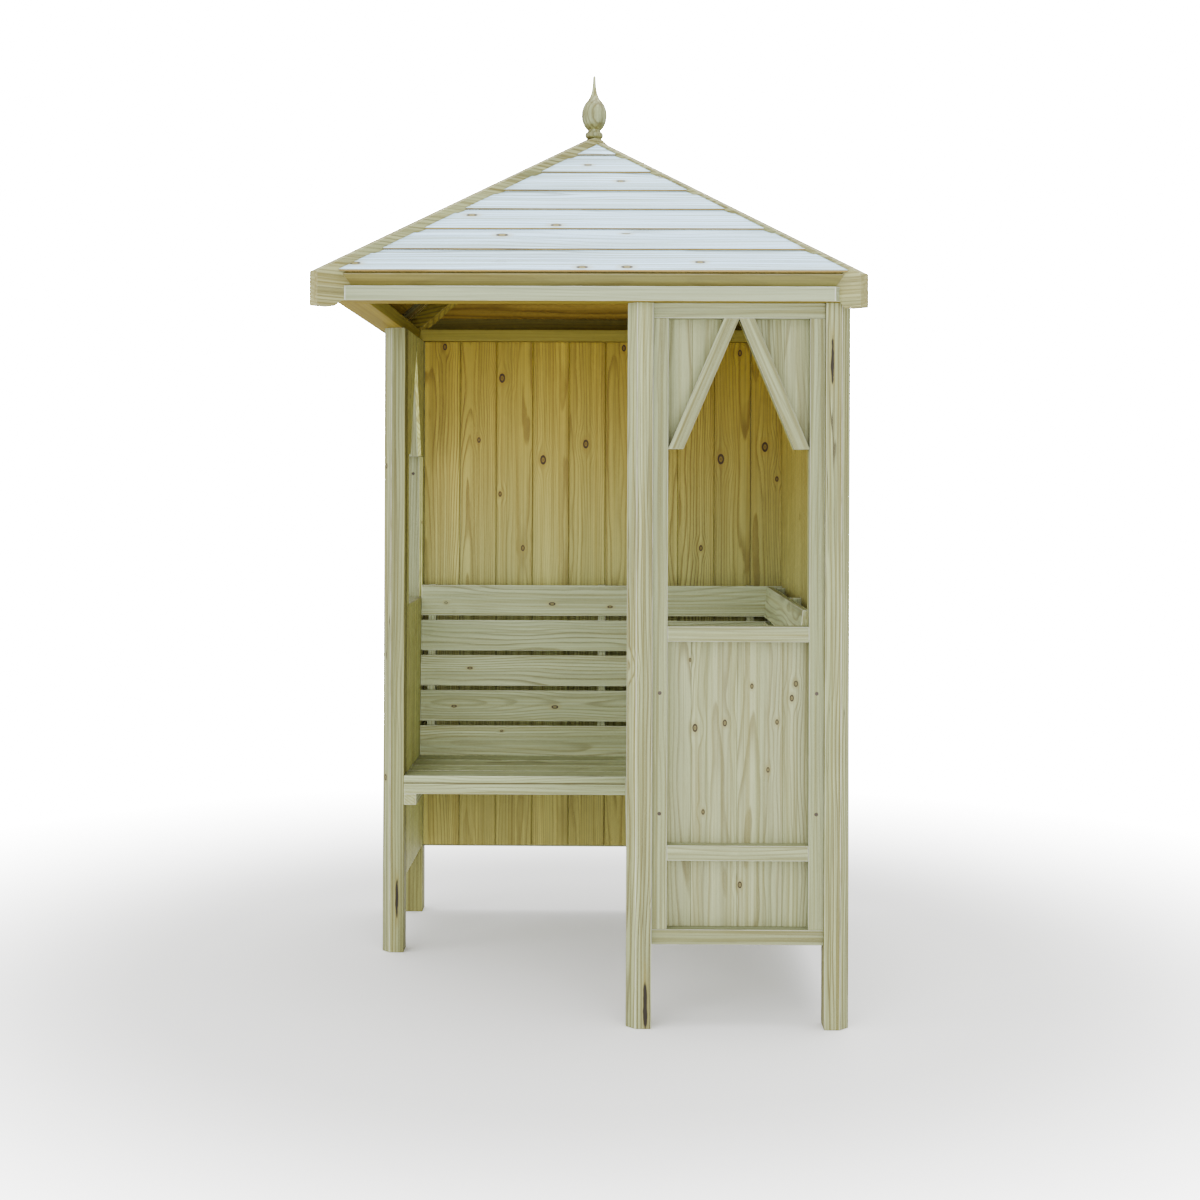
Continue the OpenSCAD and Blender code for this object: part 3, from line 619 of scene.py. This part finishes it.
def pine(name, pale, ring_share, ring_w, streak, green, knots, knot_size=(0.004, 0.010),
         cracks=0.0, inside=None, above=None, seen_knots=(), across=None, splits=(),
         wander_by=0.05, worn=0.45, joint=0.0, seam=None, under=None, roofed=None, bump=0.25,
         contrast=1.0, gloss=0.28):
    """Planed softwood: growth rings round a heart behind each board, knots and drying cracks,
    with painted light and shade.

    ring_share is how strongly the rings show and ring_w how far apart they lie. streak and green
    are the strength of the brown streaks and of the treatment's tinge. knots is the share of the
    cells that hold a knot, knot_size its least and greatest radius, and wander_by how far the
    rings stray. seen_knots lists the knots that the front view shows, by place and radius, and
    across is the direction across the grain where that grain stands upright. splits lists deep
    cracks up a post. inside is the painted light and shade of the faces that look down or towards
    the middle, and above that of those higher up. under is a further painted shade of the faces
    that look down, and roofed the painted shade of a rafter's part inside the roof.
    worn is how pale the painted highlight along the rounded edges is, joint how dark the
    painted shadow in the edges between boards, and seam the height of a painted shadow line between
    two timbers that lie flush. contrast is how strongly the fibres and broad bands show, and gloss
    the strength of the sheen."""
    finish = bpy.context.scene.arbour_finish
    w = Wood(name)
    grain = w.attribute("grain", "Vector")
    dice = w.add("ShaderNodeTexWhiteNoise", {"W": w.attribute("board")}, "Color",
                 noise_dimensions="1D")
    throw = w.split(dice)
    place = w.vec("ADD", grain, w.vec("MULTIPLY", dice, (9.0, 4.0, 4.0)))
    x, y, z = w.split(place)[:3]
    grain_y, grain_z = w.split(grain)[1:3]

    # Knots strewn over the boards' faces, at most one to a cell
    spot = w.join(w.math("DIVIDE", x, KNOT_CELL_LENGTH),
                  w.math("DIVIDE", w.math("MULTIPLY_ADD", z, 0.6, y), KNOT_CELL_WIDTH), 0.0)
    cells = w.tree.nodes.new("ShaderNodeTexVoronoi")
    cells.voronoi_dimensions = "2D"
    w.put(cells.inputs["Vector"], spot)
    cells.inputs["Scale"].default_value = 1.0
    cells.inputs["Randomness"].default_value = 0.9
    away = w.vec("MULTIPLY", w.vec("SUBTRACT", spot, cells.outputs["Position"]),
                 (KNOT_CELL_LENGTH * 0.7, KNOT_CELL_WIDTH, 0.0))
    chance = w.split(cells.outputs["Color"])
    size = w.span(chance[0], 0.0, 1.0, knot_size[0], knot_size[1], "LINEAR")
    gone = w.times(w.math("GREATER_THAN", chance[1], knots), 60.0)
    near = w.math("ADD", w.math("DIVIDE", w.vec("LENGTH", away, out="Value"), size), gone)
    pull = w.span(near, 0.5, 4.5, 0.8, 0.0)
    swerve = w.times(w.split(away)[1], pull)

    # Knots at known places
    here = w.add("ShaderNodeTexCoord", out="Object")
    facing = w.add("ShaderNodeTexCoord", out="Normal")
    squash = (1.0, 0.5, 0.62) if across else (0.5, 1.0, 1.0)
    for *knot_at, radius in seen_knots:
        gap = w.vec("SUBTRACT", here, knot_at)
        far = w.math("DIVIDE", w.vec("LENGTH", w.vec("MULTIPLY", gap, squash), out="Value"), radius)
        if across:
            side = w.vec("DOT_PRODUCT", gap, across, out="Value")
            swerve = w.math("ADD", swerve, w.times(side, w.span(far, 0.5, 6.0, 0.9, 0.0)))
        near = w.math("MINIMUM", near, far)

    # Growth rings
    heart_y = w.times(w.minus(throw[0], 0.5), HEART_SPREAD)
    heart_z = w.math("MULTIPLY_ADD", throw[1], HEART_RANGE, HEART_NEAREST)
    wander = w.times(w.centred(place, (1.3, 6, 6)), wander_by)
    ripple = w.times(w.centred(place, (7, 40, 40)), 0.0035)
    ring_y = w.minus(w.minus(grain_y, swerve), heart_y)
    ring_z = w.math("ADD", grain_z, heart_z)
    out = w.math("SQRT", w.math("ADD", w.times(ring_y, ring_y), w.times(ring_z, ring_z)))
    out = w.math("ADD", out, w.math("ADD", wander, ripple))
    year = w.math("FRACT", w.math("DIVIDE", out, ring_w))
    ring = w.times(w.span(year, 0.45, 0.86), w.span(year, 0.90, 1.0, 1.0, 0.0))
    ring = w.times(ring, w.span(w.noise(place, (0.5, 9, 9)), 0.25, 0.75, 0.35, 1.0))

    # The wood's tone: rings, brown streaks, patches of the treatment, fibres and broad bands
    fibre = w.noise(place, (5, 420, 420), 3, 0.6)
    streaks = w.noise(place, (0.9, 100, 100), 3, 0.65)
    patches = w.noise(place, (1.2, 16, 16))
    tone = w.mix(w.math("MULTIPLY", ring, ring_share, clamp=True), rgba(pale), rgba(finish.latewood))
    tone = w.mix(w.math("MULTIPLY", w.span(streaks, 0.42, 0.66), streak, clamp=True), tone,
                 darker(pale, STREAK))
    tone = w.mix(w.math("MULTIPLY", w.span(patches, 0.45, 0.7), green, clamp=True), tone,
                 rgba(finish.green))
    shade = w.math("MULTIPLY_ADD", throw[2], 0.16, 0.90)
    bands = w.noise(place, (0.45, 32, 32))
    for marks, dark, light in ((fibre, 0.14, 0.10), (bands, 0.16, 0.14)):
        shade = w.times(shade, w.span(
            marks, 0.3, 0.7, 1 - dark * contrast, 1 + light * contrast, "LINEAR"))
    tone = w.vec("SCALE", tone, shade)

    # Knots: a brown halo, a dark rim and a ringed heart
    halo = w.span(near, 1.0, 2.6, 0.5, 0.0)
    tone = w.mix(halo, tone, rgba(KNOT_HALO, pale[0]))
    rings = w.span(w.math("SINE", w.times(near, 12.0)), 0.0, 1.0, 0.0, 0.6)
    core = w.mix(rings, rgba(KNOT_FLESH, pale[0]), rgba(finish.knot, 0.6))
    core = w.mix(w.span(near, 0.45, 0.70), core, rgba(finish.knot, 0.6))
    heart = w.span(near, 0.95, 1.12, 1.0, 0.0)
    tone = w.mix(heart, tone, core)

    # Drying cracks along the grain, and deep splits
    depth = w.times(w.minus(0.0, ring), 0.2)
    if cracks:
        path = w.math("ABSOLUTE", w.centred(place, (1.1, 34, 34), 1))
        line = w.span(path, 0.002, 0.007, 1.0, 0.0)
        opens = 0.72 - 0.25 * cracks
        crack = w.times(line, w.span(w.noise(place, (2.6, 12, 12), 1), opens, opens + 0.06))
        tone = w.mix(w.times(crack, 0.85), tone, rgba(finish.knot, 0.6))
        depth = w.minus(depth, crack)
    for *split_at, half_length, half_width in splits:
        gap = w.vec("SUBTRACT", here, split_at)
        stretch = (1 / half_width, 0.2 / half_width, 1 / half_length)
        far = w.vec("LENGTH", w.vec("MULTIPLY", gap, stretch), out="Value")
        far = w.math("ADD", far, w.times(w.centred(here, (70, 70, 30)), 1.4))
        black = w.span(far, 1.0, 1.35, 1.0, 0.0)
        tone = w.mix(w.span(far, 1.2, 2.6, 0.6, 0.0), tone, darker(pale, SPLIT_EDGE))
        tone = w.mix(black, tone, rgba(finish.knot, 0.25))
        depth = w.minus(depth, w.times(black, 3.0))
    depth = w.math("ADD", depth, w.times(fibre, 0.35))
    depth = w.minus(depth, w.times(heart, 0.5))

    # Painted light and shade on faces that look down or towards the middle, and painted shade on what
    # the roof covers
    height = w.split(here)[2]
    downward = w.span(w.split(facing)[2], -0.3, -0.6)    # 1 where a face looks down
    if inside:
        inward = w.vec("DOT_PRODUCT", facing, w.vec("MULTIPLY", here, (1, 1, 0)), out="Value")
        turned = w.math("MAXIMUM", downward, w.span(inward, -0.05, -0.15))
        painted_warmth = w.math("MAXIMUM", w.span(height, WARM_FROM, WARM_TO),
                        w.span(height, LOW_WARM_TO, LOW_WARM_FROM, 0.4, 0.0))
        painted_tint = w.mix(painted_warmth, (*inside, 1), (*(above or inside), 1))
        tone = w.mix(turned, tone, w.vec("MULTIPLY", tone, painted_tint))
    # Painted shade on the faces that look down
    if under:
        tone = w.mix(downward, tone, w.vec("MULTIPLY", tone, under))
    # Painted shade on the part of a rafter that lies inside the roof
    if roofed:
        plan = w.split(w.vec("ABSOLUTE", here))
        off_middle = w.math("MAXIMUM", plan[0], plan[1])
        slope = math.tan(bpy.context.scene.arbour_timber.pitch)
        rise = w.math("MULTIPLY_ADD", off_middle, slope, plan[2])
        within = w.times(w.span(rise, UNDER_BOARDS, ABOVE_BOARDS, 1.0, 0.0),
                         w.span(off_middle, INSIDE_EAVES, OUTSIDE_EAVES, 1.0, 0.0))
        tone = w.mix(within, tone, w.vec("MULTIPLY", tone, roofed))

    # Sawn ends are darker, and the rounded edges paler with a painted highlight
    arris = w.attribute("arris")
    tone = w.mix(w.times(w.attribute("cut"), 0.45), tone, darker(pale, SAWN_END))
    # Painted highlight along the rounded edges, in patches, left off the faces that look down or
    # towards the middle
    painted_edge_highlight = w.times(arris, w.span(w.noise(place, (14, 60, 60)), 0.3, 0.6, worn * 0.35, worn))
    if inside:
        painted_edge_highlight = w.times(painted_edge_highlight, w.minus(1.0, turned))
    tone = w.mix(painted_edge_highlight, tone, rgba([0.6 * c + 0.30 for c in pale]))
    # Painted shadow in the edges between boards
    tone = w.mix(w.times(arris, joint), tone, darker(pale, JOINT_SHADOW))
    # Painted shadow line where two flush timbers meet
    if seam:
        off_seam = w.math("ABSOLUTE", w.minus(height, seam))
        tone = w.mix(w.span(off_seam, 0.0012, 0.0030, 0.9, 0.0), tone, darker(pale, SEAM_SHADOW))
    relief = w.add("ShaderNodeBump", {"Strength": bump, "Distance": 0.0012, "Height": depth})
    return w.coat(w.add("ShaderNodeBsdfPrincipled", {
        "Base Color": tone, "Roughness": w.math("MULTIPLY_ADD", fibre, 0.22, 0.52),
        "Normal": relief, "Specular IOR Level": gloss}))


def material(name, finish, **values):
    """The pine of one name, in the pale shade that the settings give for a finish."""
    pale = getattr(bpy.context.scene.arbour_finish, finish)
    return bpy.data.materials.get(name) or pine(name, pale, **values)


def post_wood():
    # Painted shade on the faces that look down or towards the middle, and a painted highlight along
    # the rounded edges
    return material("post_timber", "post", ring_share=1.0, ring_w=0.0085, streak=1.0,
                    green=0.30, knots=0.05, cracks=0.6, splits=POST_SPLITS,
                    inside=(0.76, 0.70, 0.42), bump=0.5, contrast=1.6)


def frame_wood():
    # A painted highlight along the rounded edges
    return material("frame_timber", "frame", ring_share=0.85, ring_w=0.0080, streak=0.95,
                    green=0.25, knots=0.04, bump=0.4, contrast=1.3)


def plate_wood():
    # Painted shade on the faces that look down or towards the middle, and a painted highlight along
    # the rounded edges
    return material("plate_timber", "plate", ring_share=0.22, ring_w=0.0075, streak=0.30,
                    green=0.15, knots=0.03, worn=0.9, gloss=0.04, inside=(0.88, 0.66, 0.20),
                    under=(0.80, 0.70, 0.45))


def eaves_wood():
    # A faint painted highlight along the rounded edges
    return material("eaves_timber", "eaves", ring_share=0.45, ring_w=0.0070, streak=0.55,
                    green=0.25, knots=0.10, worn=0.2)


def panel_wood():
    # Painted light on the faces that look down or towards the middle, and painted shadow in the edges
    # between boards
    return material("panel_timber", "cladding", ring_share=0.85, ring_w=0.0070, streak=0.75,
                    green=0.25, knots=0.30, knot_size=(0.0025, 0.0060), worn=0.0, joint=0.4,
                    inside=(1.80, 1.75, 1.15), seen_knots=PANEL_KNOTS, across=(-1, 0, 0),
                    wander_by=0.07)


def wall_wood():
    # Painted light on the faces that look down or towards the middle, turning to a warmer painted
    # shade higher up and under the seat, and painted shadow in the edges between boards
    return material("wall_timber", "cladding", ring_share=0.85, ring_w=0.0062, streak=0.60,
                    green=0.06, knots=0.05, knot_size=(0.004, 0.008), worn=0.0, joint=0.6,
                    inside=(1.24, 1.19, 0.74), above=(1.40, 0.96, 0.12), seen_knots=WALL_KNOTS,
                    across=(1, 0, 0), wander_by=0.06)


def roof_wood():
    # Painted shade on the faces that look down or towards the middle, and painted shadow in the laps
    # between boards
    return material("roof_timber", "roof", ring_share=0.75, ring_w=0.0110, streak=0.75,
                    green=0.05, knots=0.08, knot_size=(0.004, 0.009), worn=0.0, joint=0.8, bump=0.2,
                    inside=(0.60, 0.26, 0.028), seen_knots=ROOF_KNOTS)


def rafter_wood():
    # Painted shade on the part inside the roof, and a painted highlight along the rounded edges
    return material("rafter_timber", "rafter", ring_share=0.95, ring_w=0.0095, streak=0.95,
                    green=0.30, knots=0.03, cracks=0.15, worn=0.25, bump=0.4,
                    roofed=(1.00, 0.78, 0.26))


def bench_wood():
    # A painted highlight along the rounded edges, and a painted shadow line at the underside of the
    # seat boards
    return material("bench_timber", "bench", ring_share=0.90, ring_w=0.0080, streak=0.60,
                    green=0.28, knots=0.08, knot_size=(0.003, 0.006), seen_knots=SLAT_KNOTS,
                    wander_by=0.08, seam=UNDER_SEAT)


def steel():
    """Zinc-plated steel, dulled and browned"""
    if "dulled_zinc" in bpy.data.materials:
        return bpy.data.materials["dulled_zinc"]
    finish = bpy.context.scene.arbour_finish
    w = Wood("dulled_zinc")
    here = w.add("ShaderNodeTexCoord", out="Object")
    spots = w.noise(here, (600, 600, 600), 3)
    tone = w.mix(w.span(spots, 0.4, 0.7), rgba(finish.steel), RUST)
    return w.coat(w.add("ShaderNodeBsdfPrincipled", {
        "Base Color": tone, "Metallic": 0.85, "Roughness": w.span(spots, 0.3, 0.8, 0.32, 0.62)}))


# Operators


class ArbourOperator:
    bl_options = {"REGISTER", "UNDO"}

    def execute(self, context):
        self.make(context.scene.arbour_timber)
        return {"FINISHED"}


class ARBOUR_OT_posts(ArbourOperator, bpy.types.Operator):
    """Five square posts, each with a flat planed along its outer corner"""
    bl_idname = "arbour.posts"
    bl_label = "Posts"

    def make(self, size):
        for place in ("front_right", "front_mid", "left_mid", "back_left", "back_right"):
            dress("post_" + place, post_wood(), size.arris, (0, 0, 1))


class ARBOUR_OT_framing(ArbourOperator, bpy.types.Operator):
    """Stiles, rails and window braces of the walls"""
    bl_idname = "arbour.framing"
    bl_label = "Wall framing"

    def make(self, size):
        for side in ("front", "left"):
            for part in ("stiles", "bottom_rail", "lower_rail", "sill_rail", "top_rail",
                         "window_braces"):
                pointed = part == "window_braces"
                dress(f"{side}_{part}", frame_wood(),
                      size.board_arris if pointed else size.arris)
        for side in ("back", "right"):
            for part in ("stiles", "rails"):
                dress(f"{side}_{part}", frame_wood(), size.arris)


class ARBOUR_OT_cladding(ArbourOperator, bpy.types.Operator):
    """Tongued and grooved boards with a V joint on the inside"""
    bl_idname = "arbour.cladding"
    bl_label = "Cladding"

    def make(self, size):
        for side in ("front", "left"):
            dress(side + "_cladding", panel_wood(), size.board_arris, (0, 0, 1))
        cover = size.cladding_cover
        row("back_cladding", wall_wood(), size.board_arris,
            (1, 0, 0), 9, (cover, 0, 0))
        row("right_cladding", wall_wood(), size.board_arris,
            (0, 1, 0), 9, (0, cover, 0))


class ARBOUR_OT_plate(ArbourOperator, bpy.types.Operator):
    """Wall plate in four mitred lengths, and the eaves boards on it"""
    bl_idname = "arbour.plate"
    bl_label = "Wall plate and eaves"

    def make(self, size):
        for side in ("front", "right", "back", "left"):
            dress("plate_" + side, plate_wood(), size.arris)
            dress("eaves_" + side, eaves_wood(), size.arris)


class ARBOUR_OT_rafters(ArbourOperator, bpy.types.Operator):
    """Hip rafters, sawn from wide boards with the grain level, and the roof's battens"""
    bl_idname = "arbour.rafters"
    bl_label = "Hip rafters"

    def make(self, size):
        for place, along in (("front_left", (1, 1, 0)), ("back_right", (1, 1, 0)),
                             ("front_right", (1, -1, 0)), ("back_left", (1, -1, 0))):
            dress("hip_rafter_" + place, rafter_wood(), size.arris, along)
        for side in ("front", "right", "back", "left"):
            dress("roof_battens_" + side, rafter_wood(), size.board_arris)


class ARBOUR_OT_roof(ArbourOperator, bpy.types.Operator):
    """Lapped roof boards, each shorter than the one below"""
    bl_idname = "arbour.roof"
    bl_label = "Roof boards"

    def make(self, size):
        run = size.roof_cover * math.cos(size.pitch)
        rise = size.roof_cover * math.sin(size.pitch)
        for side, inward, length in (
            ("front", (0, 1), (1, 0, 0)), ("right", (-1, 0), (0, 1, 0)),
            ("back", (0, -1), (1, 0, 0)), ("left", (1, 0), (0, 1, 0)),
        ):
            step = (inward[0] * run, inward[1] * run, rise)
            row("roof_boards_" + side, roof_wood(), size.board_arris,
                (0, 0, 1), 6, step, length, (run, run))


class ARBOUR_OT_finial(ArbourOperator, bpy.types.Operator):
    """Turned finial on its dowel"""
    bl_idname = "arbour.finial"
    bl_label = "Finial"

    def make(self, size):
        dress("finial", post_wood(), 0.0, (0, 0, 1), smooth=True)


class ARBOUR_OT_seat(ArbourOperator, bpy.types.Operator):
    """Seat boards of the L-shaped bench, and the timber under them"""
    bl_idname = "arbour.seat"
    bl_label = "Seat"

    def make(self, size):
        row("seat_boards_back", bench_wood(), size.arris,
            (0, 1, 0), 4, (0, size.seat_step, 0))
        row("seat_boards_right", bench_wood(), size.arris,
            (1, 0, 0), 4, (size.seat_step, 0, 0), (0, 1, 0))
        for part in ("seat_rails_back", "seat_rails_right", "seat_joists", "seat_bearers"):
            dress(part, bench_wood(), size.arris)


class ARBOUR_OT_seat_back(ArbourOperator, bpy.types.Operator):
    """Leaning slats of the seat back, on tapered studs"""
    bl_idname = "arbour.seat_back"
    bl_label = "Seat back"

    def make(self, size):
        lean = size.back_lean
        row("back_slats", bench_wood(), size.arris, (0, 0, 1), 5,
            (0, size.slat_step * math.sin(lean), size.slat_step * math.cos(lean)))
        side = size.side_lean
        drop = size.slat_step * math.cos(side)
        row("right_slats", bench_wood(), size.arris, (0, 0, -1), 4,
            (-size.slat_step * math.sin(side), 0, -drop), (0, 1, 0),
            (0, drop * math.tan(lean)))
        for part in ("back_studs", "right_studs"):
            dress(part, bench_wood(), size.arris, (0, 0, 1))


class ARBOUR_OT_screws(ArbourOperator, bpy.types.Operator):
    """Countersunk screws in the stiles, with a star recess"""
    bl_idname = "arbour.screws"
    bl_label = "Screws"

    def make(self, size):
        points, aims, lengths = [], [], []
        rim_from = size.screw_head * 0.45    # only the head's rim lies this far from the axis
        for bm in solids_of("panel_screws", flatten=False):
            low, high = reach(bm)
            centre = (low + high) / 2
            axis = max(range(3), key=lambda i: high[i] - low[i])
            rim = next(v.co[axis] for v in bm.verts if sum(
                (v.co[i] - centre[i]) ** 2 for i in range(3) if i != axis) > rim_from ** 2)
            at = centre.copy()
            at[axis] = rim
            aim = Vector((0, 0, 0))
            aim[axis] = 1 if rim > centre[axis] else -1
            points.append(at)
            aims.extend(aim)
            lengths.append(high[axis] - low[axis])
            bm.free()
        mesh = bpy.data.meshes.new("panel_screws_steel")
        mesh.from_pydata(points, [], [])
        mesh.attributes.new("aim", "FLOAT_VECTOR", "POINT").data.foreach_set("vector", aims)
        mesh.attributes.new("length", "FLOAT", "POINT").data.foreach_set("value", lengths)
        obj = new_object("panel_screws_steel", mesh)
        screw = new_object("one_screw", self.one_screw())
        grow(obj, screw_tree(), {
            "Head diameter": size.screw_head, "Shank diameter": size.screw_shank,
            "Screw": screw, "Finish": steel()})
        bpy.data.objects.remove(screw)
        forget(obj.data, ("aim", "length", "shank"))
        fit_piece(obj, "panel_screws")

    def one_screw(self):
        """Head, star recess and shank, one unit long and one across, with its face at the origin."""
        sides = 24
        points_of_star = 6
        rings = (    # radius, height and depth of the star, from the recess to the tip
            (0.20, -0.045, 0.18), (0.24, 0.0, 0.18), (0.47, 0.0, 0.0), (0.50, -0.004, 0.0),
            (0.50, -0.095, 0.0), (0.50, -0.93, 0.0), (0.05, -1.0, 0.0),
        )
        head_rings = 4
        verts = []
        for radius, z, star in rings:
            for i in range(sides):
                turn = 2 * math.pi * i / sides
                out = radius * (1 + star * math.cos(points_of_star * turn))
                verts.append((out * math.cos(turn), out * math.sin(turn), z))
        faces = [list(range(sides))]
        for k in range(0, len(verts) - sides, sides):
            for i in range(sides):
                j = (i + 1) % sides
                faces.append([k + i, k + sides + i, k + sides + j, k + j])
        faces.append(list(reversed(range(len(verts) - sides, len(verts)))))
        mesh = bpy.data.meshes.new("one_screw")
        mesh.from_pydata(verts, [], faces)
        shank = [1.0 if i >= head_rings * sides else 0.0 for i in range(len(verts))]
        mesh.attributes.new("shank", "FLOAT", "POINT").data.foreach_set("value", shank)
        return mesh


class ARBOUR_OT_stage(ArbourOperator, bpy.types.Operator):
    """Pale floor, soft light and the camera"""
    bl_idname = "arbour.stage"
    bl_label = "Stage"

    def make(self, size):
        scene = bpy.context.scene
        self.floor(rgba(scene.arbour_finish.floor), scene.arbour_stage)
        self.backdrop(scene, scene.arbour_stage)
        self.lamps(scene.arbour_stage)
        self.camera(scene, scene.arbour_stage)

    def floor(self, pale, stage):
        """A floor that fades into the backdrop away from the arbour."""
        corners = [(-14, -9, 0), (14, -9, 0), (14, 19, 0), (-14, 19, 0)]
        fade_from = 1.1
        fade_to = 5.5
        mesh = bpy.data.meshes.new("floor")
        mesh.from_pydata(corners, [], [(0, 1, 2, 3)])
        w = Wood("floor_paint")
        here = w.add("ShaderNodeTexCoord", out="Object")
        tone = w.mix(w.noise(here, (1.5, 1.5, 1.5), 3), pale, rgba(pale[:3], 1.02))
        paint = w.add("ShaderNodeBsdfPrincipled", {"Base Color": tone, "Roughness": 0.8})
        far = w.span(w.vec("LENGTH", here, out="Value"), fade_from, fade_to, 0.0, stage.backdrop)
        seen = w.add("ShaderNodeLightPath", out="Is Camera Ray")
        glow = w.add("ShaderNodeEmission", {"Color": (1, 1, 1, 1), "Strength": w.times(far, seen)})
        mesh.materials.append(w.coat(w.add("ShaderNodeAddShader", {0: paint, 1: glow})))
        new_object("floor", mesh)

    def backdrop(self, scene, stage):
        """White all round: bright in the picture, and softer as light."""
        world = bpy.data.worlds.new("studio")
        world.use_nodes = True
        back = world.node_tree.nodes["Background"]
        back.inputs["Color"].default_value = (1, 1, 1, 1)
        path = world.node_tree.nodes.new("ShaderNodeLightPath")
        level = world.node_tree.nodes.new("ShaderNodeMapRange")
        level.inputs["To Min"].default_value = stage.sky
        level.inputs["To Max"].default_value = stage.backdrop
        world.node_tree.links.new(path.outputs["Is Camera Ray"], level.inputs["Value"])
        world.node_tree.links.new(level.outputs["Result"], back.inputs["Strength"])
        scene.world = world

    def lamps(self, stage):
        """Large soft lamps, each with its place, its aim and its width."""
        for name, at, to, across, power in (
            ("key", (-2.6, -5.2, 4.4), (0, 0, 1.0), 3.4, stage.key),
            ("top", (0.6, 0.4, 5.6), (0, 0, 1.5), 4.0, stage.top),
            ("fill", (0.9, -4.6, 0.7), (-0.1, 0, 1.1), 3.0, stage.fill),
            ("side", (-4.2, -1.9, 1.5), (0.4, 0, 1.0), 2.0, stage.side),
        ):
            lamp = bpy.data.lights.new(name, "AREA")
            lamp.energy = power
            lamp.size = across
            obj = new_object(name, lamp)
            obj.location = at
            obj.rotation_euler = (Vector(to) - Vector(at)).to_track_quat("-Z", "Y").to_euler()

    def camera(self, scene, stage):
        """A level camera, turned to the left and rolled a little, with a shifted lens."""
        right = Vector((math.cos(stage.turn), math.sin(stage.turn), 0))
        ahead = Vector((-math.sin(stage.turn), math.cos(stage.turn), 0))
        up = Vector((0, 0, 1))
        rolled = right * math.cos(stage.roll) + up * math.sin(stage.roll)
        top = -right * math.sin(stage.roll) + up * math.cos(stage.roll)
        place = Matrix((rolled, top, -ahead)).transposed().to_4x4()
        place.translation = Vector(stage.camera)
        cam = bpy.data.cameras.new("camera")
        cam.sensor_width = 36
        cam.lens = stage.lens
        cam.shift_x, cam.shift_y = stage.shift
        obj = new_object("camera", cam)
        obj.matrix_world = place
        scene.camera = obj


# Panel and registration


OPERATORS = (
    ARBOUR_OT_posts, ARBOUR_OT_framing, ARBOUR_OT_cladding, ARBOUR_OT_plate, ARBOUR_OT_rafters,
    ARBOUR_OT_roof, ARBOUR_OT_finial, ARBOUR_OT_seat, ARBOUR_OT_seat_back, ARBOUR_OT_screws,
    ARBOUR_OT_stage,
)


class ARBOUR_PT_panel(bpy.types.Panel):
    """The arbour's pieces and settings"""
    bl_idname = "ARBOUR_PT_panel"
    bl_label = "Corner arbour"
    bl_space_type = "VIEW_3D"
    bl_region_type = "UI"
    bl_category = "Arbour"

    def draw(self, context):
        for operator in OPERATORS:
            self.layout.operator(operator.bl_idname)
        for group in ("arbour_timber", "arbour_finish", "arbour_stage"):
            settings = getattr(context.scene, group)
            box = self.layout.box()
            for key in settings.__annotations__:
                box.prop(settings, key)


CLASSES = (ArbourTimber, ArbourFinish, ArbourStage) + OPERATORS + (ARBOUR_PT_panel,)


def register():
    for cls in CLASSES:
        bpy.utils.register_class(cls)
    bpy.types.Scene.arbour_timber = bpy.props.PointerProperty(type=ArbourTimber)
    bpy.types.Scene.arbour_finish = bpy.props.PointerProperty(type=ArbourFinish)
    bpy.types.Scene.arbour_stage = bpy.props.PointerProperty(type=ArbourStage)


def unregister():
    del bpy.types.Scene.arbour_timber
    del bpy.types.Scene.arbour_finish
    del bpy.types.Scene.arbour_stage
    for cls in reversed(CLASSES):
        bpy.utils.unregister_class(cls)


def main():
    register()
    bpy.ops.arbour.posts()
    bpy.ops.arbour.framing()
    bpy.ops.arbour.cladding()
    bpy.ops.arbour.plate()
    bpy.ops.arbour.rafters()
    bpy.ops.arbour.roof()
    bpy.ops.arbour.finial()
    bpy.ops.arbour.seat()
    bpy.ops.arbour.seat_back()
    bpy.ops.arbour.screws()
    bpy.ops.arbour.stage()


if __name__ == "__main__":
    main()
